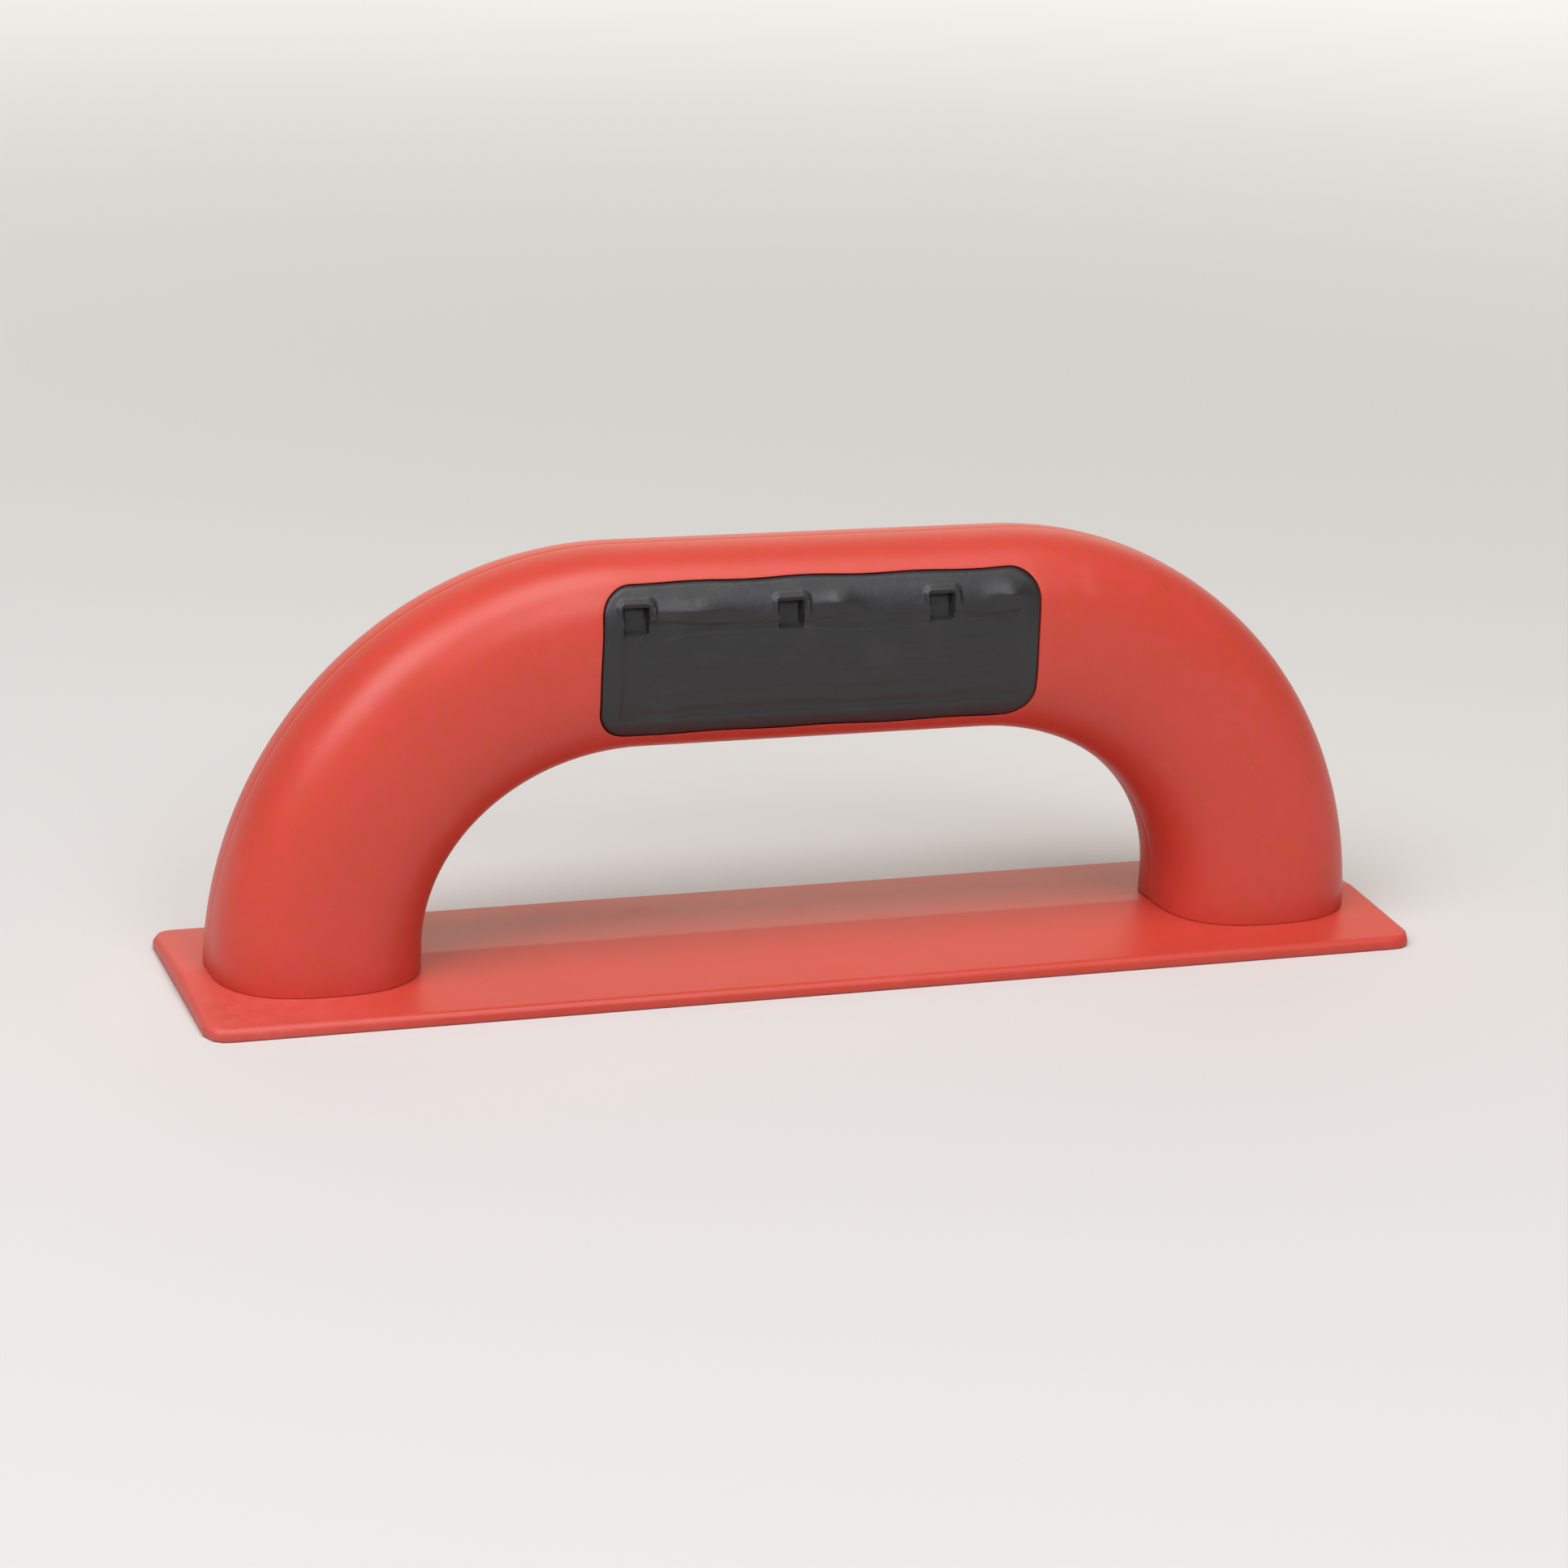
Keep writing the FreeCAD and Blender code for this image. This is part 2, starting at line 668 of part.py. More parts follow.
def handle_rear_shell():
    face, side = "rear", REAR
    groove_skin = half_arch("groove_outside", side, size("lip_inset") - size("fit_gap"))
    groove = common("lip_groove", groove_skin,
                    seam_zone("groove_zone", "<lip_height> + <fit_gap>"))
    walls = cut("rear_grooved_walls", hollow_half(side, face),
                fuse("rear_seam_tools", [groove, seam_zone("seam_air", "<seam_gap>")]))
    head_room = "(<pan_radius> + <fit_gap> * 2)"
    solid = fuse("rear_assembled",
                 [walls, pad_floor(side, face), leg_frame(side, face)]
                 + bar_bosses(side, face, f"({head_room} + <rib_wall>)")
                 + pin_bosses(side, face))
    holes = []
    for label, x in shell_screw_places():
        holes.append(cylinder(f"{label}_way", HOLE_RADIUS, "<bar_depth> / 2", x, "0",
                              BAR_MIDDLE, TOWARDS_REAR))
        holes.append(cylinder(f"{label}_head_room", head_room, "<bar_depth> / 2",
                              x, f"{HEAD_TOP} - <pan_height> - <seat_gap>", BAR_MIDDLE,
                              TOWARDS_REAR))
    tools = fuse("rear_tools", [pad_pocket(side, face), ground("rear_ground")]
                 + stud_holes(side, face) + leg_holes(face) + holes
                 + pins("socket", "(<pin_radius> + <fit_gap>)",
                        "(<pin_length> + <fit_gap> * 2)"))
    return cut("handle_rear_shell", solid, tools)


# ---------------------------------------------------------------- grip inserts

def grip_insert(side, face):
    """A soft pad that follows the bar's skin, with snap studs on its back."""
    block = pad_prism(f"{face}_pad_block", side, "0")
    skin = half_arch(f"{face}_pad_skin", side, -size("pad_proud"))
    core = half_arch(f"{face}_pad_core", side, size("pad_depth"))
    pad = cut(f"{face}_pad_slab", common(f"{face}_pad_face", block, skin), core)
    studs = []
    root = f"({FLOOR_FACE} + <fit_gap> + {OVERLAP})"
    neck = f"({FLOOR_BACK} - <fit_gap>)"
    for label, x in stud_places():
        studs.append(cylinder(f"{face}_{label}_stem", "<stud_radius>",
                              f"{root} - {neck} + <stud_head_height> / 2",
                              x, signed(side, root), BAR_MIDDLE, inwards(side)))
        studs.append(cone(f"{face}_{label}_snap", "<stud_head_radius>",
                          "<stud_tip_radius>", "<stud_head_height>",
                          x, signed(side, neck), BAR_MIDDLE, inwards(side)))
    return fuse(f"{face}_grip_insert", [pad] + studs)


# ---------------------------------------------------------------- build and write

def check_document():
    """Stop if any object of the document failed to compute."""
    for obj in doc.Objects:
        if "Invalid" in obj.State or "Error" in obj.State:
            raise RuntimeError(f"{obj.Name} did not compute: {obj.State}")


def write_pieces(pieces):
    """Check each piece and write it to a file of its own name."""
    for obj, solids in pieces:
        shape = obj.Shape
        obj.Label = obj.Name
        if shape.isNull() or not shape.isValid() or len(shape.Solids) != solids:
            raise RuntimeError(f"{obj.Name}: bad shape, {len(shape.Solids)} solids")
    os.makedirs("parts", exist_ok=True)
    for obj, solids in pieces:
        obj.Shape.exportStep(os.path.join("parts", f"{obj.Label}.step"))
        print(f"{obj.Label}: {solids} solid(s), {obj.Shape.Volume / 1000:.2f} cm3")


pieces = [
    (base_plate(), 1),
    (handle_front_shell(), 1),
    (handle_rear_shell(), 1),
    (grip_insert(FRONT, "front"), 1),
    (grip_insert(REAR, "rear"), 1),
    (base_screws(), 4),
    (shell_screws(), 3),
]
doc.recompute()
check_document()
write_pieces(pieces)
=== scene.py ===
"""Plasterer's hand float: ridged base plate, hollow arch handle, soft grip inserts.

Everything is in metres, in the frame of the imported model: X along the plate, Y to the
rear, Z up from the working face.
"""
import math

import bmesh
import bpy
import numpy as np
from bpy.props import FloatProperty, FloatVectorProperty, IntProperty, PointerProperty
from mathutils import Matrix, Vector


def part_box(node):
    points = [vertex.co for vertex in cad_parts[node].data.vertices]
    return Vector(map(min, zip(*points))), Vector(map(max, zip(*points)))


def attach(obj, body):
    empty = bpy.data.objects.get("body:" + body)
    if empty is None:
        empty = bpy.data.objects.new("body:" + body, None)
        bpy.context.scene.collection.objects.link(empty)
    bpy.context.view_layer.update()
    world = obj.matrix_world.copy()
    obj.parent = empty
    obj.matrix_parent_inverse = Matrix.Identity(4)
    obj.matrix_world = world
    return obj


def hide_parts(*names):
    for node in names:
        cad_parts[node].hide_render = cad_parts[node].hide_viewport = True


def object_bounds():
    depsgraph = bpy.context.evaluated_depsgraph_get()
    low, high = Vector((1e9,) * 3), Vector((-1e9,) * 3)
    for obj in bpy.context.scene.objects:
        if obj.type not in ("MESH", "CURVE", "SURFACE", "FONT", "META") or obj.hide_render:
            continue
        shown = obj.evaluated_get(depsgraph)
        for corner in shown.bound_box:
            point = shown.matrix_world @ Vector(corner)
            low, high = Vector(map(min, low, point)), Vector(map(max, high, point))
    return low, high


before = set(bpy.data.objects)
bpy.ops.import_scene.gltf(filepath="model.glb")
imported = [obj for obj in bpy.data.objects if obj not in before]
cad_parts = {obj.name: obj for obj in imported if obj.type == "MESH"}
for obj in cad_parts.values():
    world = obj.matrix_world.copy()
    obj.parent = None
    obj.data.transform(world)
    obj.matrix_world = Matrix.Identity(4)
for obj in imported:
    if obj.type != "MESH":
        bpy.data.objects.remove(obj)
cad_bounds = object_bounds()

bl_info = {
    "name": "Hand float",
    "version": (1, 0, 0),
    "blender": (4, 5, 0),
    "location": "View3D > Sidebar > Hand float",
    "description": "Builds a plastic hand float around its packed frame",
    "category": "Add Mesh",
}

MM = 0.001
FRONT, REAR = -1, 1
SHELLS = {FRONT: "handle_front_shell", REAR: "handle_rear_shell"}
INSERTS = {FRONT: "front_grip_insert", REAR: "rear_grip_insert"}
SHARP = math.radians(32)  # edges that bend more than this stay crisp
DOWNWARD = -0.9999        # upward part of a face's direction where it counts as level


def length(name, description, default):
    """A size that a user can change, in metres."""
    return FloatProperty(name=name, description=description, default=default,
                         unit="LENGTH", precision=5)


def colour(name, description, default):
    """A colour that a user can change."""
    return FloatVectorProperty(name=name, description=description, default=default,
                               subtype="COLOR", min=0.0, max=1.0)


def power(name, default):
    """The strength of a lamp, in watts."""
    return FloatProperty(name=name, description=f"Power of the {name.lower()}",
                         default=default, unit="POWER")


# ---------------------------------------------------------------- sizes

class HandleSizes(bpy.types.PropertyGroup):
    """The arch handle's outline and walls."""

    finger_length: length("Finger length", "Clear length between the legs", 0.156)
    finger_height: length("Finger height", "Underside of the bar above the face", 0.045)
    shoulder_reach: length("Shoulder reach", "Outer quarter ellipse, lengthways", 0.0793)
    crook_reach: length("Crook reach", "Inner quarter ellipse, lengthways", 0.0425)
    outer_straight: length("Outer straight", "Where the shoulder starts", 0.0025)
    inner_straight: length("Inner straight", "Where the crook starts", 0.0085)
    bar_depth: length("Bar depth", "Bar, front to back", 0.0318)
    wall: length("Wall", "Wall of the shells", 0.003)
    seam_gap: length("Seam gap", "Air between the shells", 0.00001)
    seam_round: length("Seam round", "Round on the shells' seam edges", 0.00002)
    foot_round: length("Foot round", "Round on the feet's outer edges", 0.0002)
    squareness: FloatProperty(name="Squareness", default=2.57, min=2.0, max=6.0,
                              description="Squareness of the section; 2 is an ellipse")


class PlateSizes(bpy.types.PropertyGroup):
    """The base plate."""

    edge: length("Edge", "Thickness at the long edges", 0.0024)
    ridge_rise: length("Ridge rise", "Rise of the top to the middle line", 0.0017)
    ridge_round: length("Ridge round", "Softness of the middle line", 0.00035)
    corner_radius: length("Corner radius", "Plan radius of the corners", 0.0045)
    rim_round: length("Rim round", "Round on the top edges", 0.0013)
    base_round: length("Base round", "Round on the bottom edges", 0.0003)
    seat_gap: length("Seat gap", "Air between the plate and the feet", 0.00003)


class GripSizes(bpy.types.PropertyGroup):
    """The soft inserts in the bar."""

    corner_radius: length("Corner radius", "Corners of the insert", 0.006)
    gap: length("Gap", "Groove round the insert", 0.00009)
    ripple: length("Ripple", "Waver of the moulded edge", 0.00012)
    shoulder: length("Shoulder", "Round on the insert's edge", 0.0008)
    depth: length("Depth", "Insert below the skin", 0.0024)
    lip: length("Lip", "Round on the pocket's edge", 0.00025)
    proud: length("Proud", "Middle of the insert above the skin", 0.00025)
    panel_depth: length("Panel depth", "Sunk panel in the insert", 0.00060)
    rib_height: length("Rib height", "Low grip ribs in the panel", 0.00015)
    swell_height: length("Swell height", "Soft swellings of the band over the panel", 0.00110)
    pip_size: length("Pip size", "Square pips along the top of the panel", 0.0047)
    pip_depth: length("Pip depth", "Pips below the panel", 0.0015)
    pip_pitch: length("Pip pitch", "Spacing of the pips", 0.0311)
    pip_shift: length("Pip shift", "Middle pip from the middle of the insert", -0.0070)
    collar_height: length("Collar height", "Raised collars over the pips", 0.00080)
    collar_width: length("Collar width", "Collars, across", 0.0018)
    rib_count: IntProperty(name="Ribs", default=5, description="Grip ribs in the panel")


class ScrewSizes(bpy.types.PropertyGroup):
    """The countersunk holes for the base screws."""

    head_radius: length("Head radius", "Countersunk screw head", 0.0038)
    head_rim: length("Head rim", "Upright rim of the head", 0.0003)
    hole_radius: length("Hole radius", "Way for the shank", 0.0019)
    clearance: length("Clearance", "Air round the head", 0.00015)


class FinishColours(bpy.types.PropertyGroup):
    """Colours of the mouldings."""

    red: colour("Red", "Moulded red plastic", (0.52, 0.050, 0.030))
    # also paints a pale sheen on the plate's left end, beside the real rubbed patches and
    # specks
    red_worn_and_sheen: colour("Worn red", "Red where it is rubbed pale", (0.60, 0.088, 0.070))
    red_warm: colour("Warm red", "Blotches a shade more orange", (0.50, 0.052, 0.022))
    red_cool: colour("Cool red", "Blotches a shade pinker", (0.54, 0.048, 0.040))
    rubber: colour("Rubber", "Soft black grip", (0.017, 0.0165, 0.0175))
    steel: colour("Steel", "Zinc-plated screws", (0.62, 0.62, 0.60))
    floor: colour("Floor", "Studio floor", (0.61, 0.60, 0.575))
    far_floor: colour("Far floor", "Glow of the floor far off", (0.64, 0.635, 0.62))
    glow: colour("Glow", "Tint of the soft glow behind", (1.0, 0.83, 0.66))


class StageSettings(bpy.types.PropertyGroup):
    """Camera and lights."""

    azimuth: FloatProperty(name="Azimuth", description="Camera round the object",
                           default=math.radians(-19.67), subtype="ANGLE")
    elevation: FloatProperty(name="Elevation", description="Camera above the horizon",
                             default=math.radians(17.285), subtype="ANGLE")
    roll: FloatProperty(name="Roll", description="Camera tilt about its own axis",
                        default=math.radians(2.46), subtype="ANGLE")
    distance: length("Distance", "Camera to its aim point", 0.8252)
    aim: FloatVectorProperty(name="Aim", description="Point the camera looks at",
                             default=(-0.0033, 0.0, 0.0341), subtype="XYZ")
    lens: FloatProperty(name="Lens", description="Focal length in millimetres",
                        default=95.3)
    world: FloatProperty(name="World", description="Strength of the surroundings",
                         default=0.15)
    glow: FloatProperty(name="Glow", description="Extra strength of the soft glow behind",
                        default=1.2)
    left: power("Left softbox", 37.0)
    front: power("Front softbox", 16.0)
    top: power("Top softbox", 34.0)


# ---------------------------------------------------------------- shader maths

class Field:
    """A number that varies over a surface; arithmetic on it adds Math nodes."""

    def __init__(self, tree, socket):
        self.tree = tree
        self.socket = socket

    def maths(self, operation, *terms):
        """One Math node over numbers and varying numbers."""
        node = self.tree.nodes.new("ShaderNodeMath")
        node.operation = operation
        for socket, term in zip(node.inputs, terms):
            if isinstance(term, Field):
                self.tree.links.new(term.socket, socket)
            else:
                socket.default_value = term
        return Field(self.tree, node.outputs[0])

    def __add__(self, other):
        return self.maths("ADD", self, other)

    def __radd__(self, other):
        return self.maths("ADD", other, self)

    def __sub__(self, other):
        return self.maths("SUBTRACT", self, other)

    def __rsub__(self, other):
        return self.maths("SUBTRACT", other, self)

    def __mul__(self, other):
        return self.maths("MULTIPLY", self, other)

    def __rmul__(self, other):
        return self.maths("MULTIPLY", other, self)

    def __pow__(self, other):
        return self.maths("POWER", self, other)

    def __rpow__(self, other):
        return self.maths("POWER", other, self)

    def at_least(self, lowest):
        """This number, or the lowest one where it falls below that."""
        return self.maths("MAXIMUM", self, lowest)


class NodeWork:
    """A node tree, with the one method that makes any node but a Math node."""

    def __init__(self, tree):
        self.tree = tree

    def add(self, kind, settings=None, inputs=None, output=0):
        """Any node: its settings, then its sockets' values or links; gives one output."""
        node = self.tree.nodes.new(kind)
        for name, value in (settings or {}).items():
            setattr(node, name, value)
        for name, value in (inputs or {}).items():
            self.feed(node.inputs[name], value)
        return Field(self.tree, node.outputs[output])

    def feed(self, socket, value):
        """Link what varies to a socket, or set the socket's own value."""
        if isinstance(value, Field):
            self.tree.links.new(value.socket, socket)
        elif socket.type == "RGBA":
            socket.default_value = (*value[:3], 1.0)
        else:
            socket.default_value = value


class Finish(NodeWork):
    """A material under construction, with its main shader and its place at hand.

    The place is the position in the object's own frame, in metres.
    """

    def __init__(self, name, **uniform):
        self.material = bpy.data.materials.new(name)
        self.material.use_nodes = True
        super().__init__(self.material.node_tree)
        self.shader = self.tree.nodes["Principled BSDF"]
        self.place = self.add("ShaderNodeTexCoord", output="Object")
        for socket, value in uniform.items():
            self.shader.inputs[socket.replace("_", " ")].default_value = value

    def noise(self, scale, detail, rough):
        """Cloudy noise from 0 to 1; a larger scale gives smaller clouds."""
        return self.add("ShaderNodeTexNoise", inputs={
            "Vector": self.place, "Scale": scale, "Detail": detail,
            "Roughness": rough})

    def ease(self, value, low, high):
        """0 below low, 1 above high and smooth between."""
        return self.add("ShaderNodeMapRange", {"interpolation_type": "SMOOTHSTEP"}, {
            "Value": value, "From Min": low, "From Max": high})

    def blend(self, factor, first, second):
        """A mix of two colours."""
        return self.add("ShaderNodeMix", {"data_type": "RGBA"},
                        {0: factor, 6: first, 7: second}, output=2)

    def bump(self, height, distance, under=None):
        """A normal from a height; the distance is how far it stands out at 1."""
        inputs = {"Height": height, "Distance": distance, "Strength": 1.0}
        if under is not None:
            inputs["Normal"] = under
        return self.add("ShaderNodeBump", inputs=inputs)

    def finish(self, **varying):
        """Feed what varies into the shader and give the material."""
        for socket, value in varying.items():
            self.feed(self.shader.inputs[socket.replace("_", " ")], value)
        return self.material


# ---------------------------------------------------------------- mesh work

class Patchwork:
    """Points and faces of one piece; points that coincide are welded at the end."""

    WELD = 0.002 * MM

    def __init__(self):
        self.points = []
        self.faces = []

    def sheet(self, rows, closed=False, hole=None):
        """Quads between neighbouring rows of points; closed joins last column to first.

        A hole is the first and last row and column of a window left open.
        """
        count, width = rows.shape[:2]
        start = len(self.points)
        self.points.extend(rows.reshape(-1, 3).tolist())
        for row in range(count - 1):
            for column in range(width if closed else width - 1):
                if hole and hole[0] <= row < hole[1] and hole[2] <= column < hole[3]:
                    continue
                beside = (column + 1) % width
                self.faces.append([start + row * width + column,
                                   start + row * width + beside,
                                   start + (row + 1) * width + beside,
                                   start + (row + 1) * width + column])

    def cap(self, ring):
        """One face over a closed ring of points."""
        start = len(self.points)
        self.points.extend(ring.tolist())
        self.faces.append(list(range(start, start + len(ring))))

    def piece(self, name, material, sharp_angle):
        """Weld everything into one closed mesh and show it."""
        mesh = bpy.data.meshes.new(name)
        mesh.from_pydata(self.points, [], self.faces)
        work = bmesh.new()
        work.from_mesh(mesh)
        bmesh.ops.remove_doubles(work, verts=work.verts, dist=self.WELD)
        bmesh.ops.recalc_face_normals(work, faces=work.faces)
        open_edges = sum(1 for edge in work.edges if not edge.is_manifold)
        if open_edges:
            raise RuntimeError(f"{name}: {open_edges} edges are not closed")
        work.to_mesh(mesh)
        work.free()
        return shown(name, mesh, material, sharp_angle)


def shown(name, mesh, material, sharp_angle):
    """Put a mesh in the scene, smooth except across sharp edges."""
    mesh.materials.clear()
    mesh.materials.append(material)
    mesh.shade_smooth()
    mesh.set_sharp_from_angle(angle=sharp_angle)
    piece = bpy.data.objects.new(name, mesh)
    bpy.context.scene.collection.objects.link(piece)
    return piece


def window_ring(rows, hole):
    """The points round a window in a sheet, in order."""
    top, bottom, left, right = hole
    return np.concatenate([rows[top:bottom, left], rows[bottom, left:right],
                           rows[bottom:top:-1, right], rows[top, right:left:-1]])


def rim_ring(rows):
    """The points round the outside of a sheet, in order."""
    return window_ring(rows, (0, rows.shape[0] - 1, 0, rows.shape[1] - 1))


def rounding(radius, steps):
    """Pairs of set-back and drop round a quarter turn, from flat to upright."""
    for turn in np.linspace(0, np.pi / 2, steps + 1):
        yield radius * (1 - math.sin(turn)), radius * (1 - math.cos(turn))


def between(start, end, shares):
    """Points part of the way from some points to others, for each share in turn."""
    return [start + (end - start) * share for share in shares]


class RoundedOblong:
    """A round-cornered rectangle in a plane, about its own centre.

    Its edge can waver by a ripple: a quick wave and a slower, lower one.
    """

    RIPPLE_LENGTH = 3.7 * MM  # along the edge, for each radian of the quick wave
    SLOW_RATE = 0.43
    SLOW_SHARE = 0.6
    SLOW_START = 1.0

    def __init__(self, centre, half_long, half_tall, corner, ripple=0.0):
        self.ripple = ripple
        self.centre = np.array(centre)
        self.core = np.array([half_long - corner, half_tall - corner])
        self.half = np.array([half_long, half_tall])
        self.corner = corner

    def nearest(self, places, grow=0.0):
        """The outline's nearest points, with the outline grown or drawn in."""
        off = places - self.centre
        held = np.clip(off, -self.core, self.core)
        away = off - held
        away /= np.linalg.norm(away, axis=-1, keepdims=True)
        along = held.sum(axis=-1, keepdims=True) / self.RIPPLE_LENGTH
        slow = self.SLOW_SHARE * np.sin(self.SLOW_RATE * along + self.SLOW_START)
        waver = self.ripple * (np.sin(along) + slow)
        return self.centre + held + away * (self.corner + grow + waver)

    def spine(self, places):
        """The nearest points of the rectangle's middle line."""
        off = places - self.centre
        run = self.half[0] - self.half[1]
        return self.centre + np.stack([np.clip(off[..., 0], -run, run),
                                       np.zeros(off.shape[:-1])], axis=-1)

    def inner_grid(self, margin, spacing):
        """An even grid over the rectangle, this far inside its straight edges."""
        half = self.half - margin
        counts = np.ceil(2 * half / spacing).astype(int)
        across, up = (np.linspace(-size, size, count + 1)
                      for size, count in zip(half, counts))
        return self.centre + np.stack(np.meshgrid(across, up, indexing="ij"), axis=-1)


class Arch:
    """The handle's skin as a formula.

    A place on the skin is a station along the arch (0-1 up the straight foot, 1-2 round
    the shoulder, 2-3 to the middle of the bar) and a share across it, from 1 on the
    outside of the arch to -1 on the inside. Only the left half and one side are worked
    out, with y growing away from the seam.
    """

    SHOULDER = 1.0        # the station where the straight foot ends
    HIGHEST_FOOT = 1.5    # no part of a foot's edge stands above this station
    MIDDLE = 3.0
    COLUMNS = 52          # of faces, round half a section
    SPACING = 1.1 * MM    # of rows of points, along the arch
    SECTION_SAMPLES = 4001  # for measuring the way round half a section
    RUN_SAMPLES = 2001      # and for the way along half the arch
    HALVINGS = 48         # of a range, when a station is searched for
    SEAM_STEPS = 2        # of faces round a seam edge, and round a foot's edge
    FOOT_STEPS = 3

    def __init__(self, handle, plate):
        low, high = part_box(SHELLS[FRONT])
        plate_low, plate_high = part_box("base_plate")
        self.handle = handle
        self.plate = plate
        self.length = high.x - low.x
        self.height = high.z
        self.foot_depth = -2 * low.y
        self.plate_half = (plate_high.y - plate_low.y) / 2

    def outline(self, station, length, height, reach, straight):
        """x and z of one edge of the arch."""
        leg = np.clip(station, 0, 1)
        turn = np.pi / 2 * np.clip(station - 1, 0, 1)
        along = np.clip(station - 2, 0, 1)
        return (-(length / 2 - reach) * (1 - along) - reach * np.cos(turn),
                straight * leg + (height - straight) * np.sin(turn))

    def spoke(self, station):
        """Middle, half spoke and half depth of the section at a station."""
        handle = self.handle
        outer = self.outline(station, self.length, self.height,
                             handle.shoulder_reach, handle.outer_straight)
        inner = self.outline(station, handle.finger_length, handle.finger_height,
                             handle.crook_reach, handle.inner_straight)
        middle = [(out + inn) / 2 for out, inn in zip(outer, inner)]
        half = [(out - inn) / 2 for out, inn in zip(outer, inner)]
        top = (self.height + handle.finger_height) / 2
        rise = (middle[1] - self.plate.edge) / (top - self.plate.edge)
        depth = self.foot_depth + (handle.bar_depth - self.foot_depth) * rise
        return middle[0], middle[1], half[0], half[1], depth / 2

    @property
    def lift(self):
        """Height above the seam plane at which the skin itself begins."""
        return self.handle.seam_gap / 2 + self.handle.seam_round

    def points(self, station, share, bulge, pull, lift):
        """Points drawn in by pull, with the section's bulge starting at lift."""
        x, z, half_x, half_z, half_depth = self.spoke(station)
        share = share * (1 - pull / np.hypot(half_x, half_z))
        return np.stack([x + half_x * share,
                         lift + (half_depth - pull - lift) * bulge,
                         z + half_z * share], axis=-1)

    def columns(self):
        """Share, bulge, pull and lift of each column of points round half a section."""
        power = 2 / self.handle.squareness
        turn = np.linspace(0, np.pi, self.SECTION_SAMPLES)

        def section(angle):
            cosine = np.cos(angle)
            return (np.sign(cosine) * np.abs(cosine) ** power,
                    np.abs(np.sin(angle)) ** power)

        share, bulge = section(turn)
        half_height = (self.height - self.handle.finger_height) / 2
        steps = np.hypot(np.diff(share) * half_height,
                         np.diff(bulge) * self.handle.bar_depth / 2)
        along = np.concatenate([[0], np.cumsum(steps)])
        even = np.linspace(0, along[-1], self.COLUMNS + 1)
        share, bulge = section(np.interp(even, along, turn))
        bulge[[0, -1]] = 0
        seam = list(rounding(self.handle.seam_round, self.SEAM_STEPS))[:-1]
        pull = np.array([set_back for set_back, _ in seam])
        lift = np.array([self.handle.seam_gap / 2 + drop for _, drop in seam])
        flat = np.zeros_like(share)
        return (np.concatenate([[1, 1], share, [-1, -1]]),
                np.concatenate([[0, 0], bulge, [0, 0]]),
                np.concatenate([pull, flat, pull[::-1]]),
                np.concatenate([lift, flat + self.lift, lift[::-1]]))

    def sole(self, y):
        """Height of a foot's underside, which follows the plate's ridged top."""
        plate = self.plate
        return (plate.edge + plate.ridge_rise * (1 - np.abs(y) / self.plate_half)
                + plate.seat_gap)

    def foot_station(self, above, share, bulge, pull, lift):
        """The station at which each column stands this far above its sole."""
        low, high = np.zeros_like(share), np.full_like(share, self.HIGHEST_FOOT)
        for _ in range(self.HALVINGS):
            middle = (low + high) / 2
            point = self.points(middle, share, bulge, pull, lift)
            short = point[:, 2] < self.sole(point[:, 1]) + above
            low, high = np.where(short, middle, low), np.where(short, high, middle)
        return high

    def even_steps(self):
        """Shares of the way from shoulder to middle, evenly spaced on the skin."""
        fine = np.linspace(self.SHOULDER, self.MIDDLE, self.RUN_SAMPLES)
        x, z = self.spoke(fine)[:2]
        along = np.concatenate([[0], np.cumsum(np.hypot(np.diff(x), np.diff(z)))])
        count = int(along[-1] / self.SPACING)
        stations = np.interp(np.linspace(0, along[-1], count + 1), along, fine)
        return (stations - self.SHOULDER) / (self.MIDDLE - self.SHOULDER)

    def rows(self, inset=0.0):
        """Points all along the arch, from the left foot to the right one.

        An inset gives the inner wall, whose foot edges aren't rounded.
        """
        share, bulge, pull, lift = self.columns()
        pull = pull + inset
        rows = []
        for set_back, above in rounding(self.handle.foot_round, self.FOOT_STEPS):
            drawn = pull if inset else pull + set_back
            station = self.foot_station(above, share, bulge, drawn, lift)
            rows.append(self.points(station, share, bulge, drawn, lift))
        for step in self.even_steps()[1:]:
            rows.append(self.points(station + (self.MIDDLE - station) * step,
                                    share, bulge, pull, lift))
        left = np.stack(rows)
        return np.concatenate([left, left[-2::-1] * (-1, 1, 1)])

    def skin(self, places):
        """Height of the skin above the seam plane over points of the XZ plane."""
        x, z = -np.abs(places[..., 0]), places[..., 1]
        low, high = np.ones_like(x), np.full_like(x, self.MIDDLE)
        for _ in range(self.HALVINGS):
            middle = (low + high) / 2
            mid_x, mid_z, half_x, half_z, _ = self.spoke(middle)
            before = half_x * (z - mid_z) - half_z * (x - mid_x) > 0
            low, high = np.where(before, low, middle), np.where(before, middle, high)
        mid_x, mid_z, half_x, half_z, half_depth = self.spoke(high)
        share = ((x - mid_x) * half_x + (z - mid_z) * half_z) / (half_x**2 + half_z**2)
        power = self.handle.squareness
        bulge = np.clip(1 - np.abs(share) ** power, 0, 1) ** (1 / power)
        return self.lift + (half_depth - self.lift) * bulge


def in_space(places, heights, side):
    """Points of the XZ plane raised from the seam plane on one side."""
    return np.stack([places[..., 0], side * heights, places[..., 1]], axis=-1)


def grip_outline(side, grip):
    """The grip insert's outline in the XZ plane, from its own solid."""
    low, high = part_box(INSERTS[side])
    centre = ((low.x + high.x) / 2, (low.z + high.z) / 2)
    return RoundedOblong(centre, (high.x - low.x) / 2, (high.z - low.z) / 2,
                         grip.corner_radius, grip.ripple)


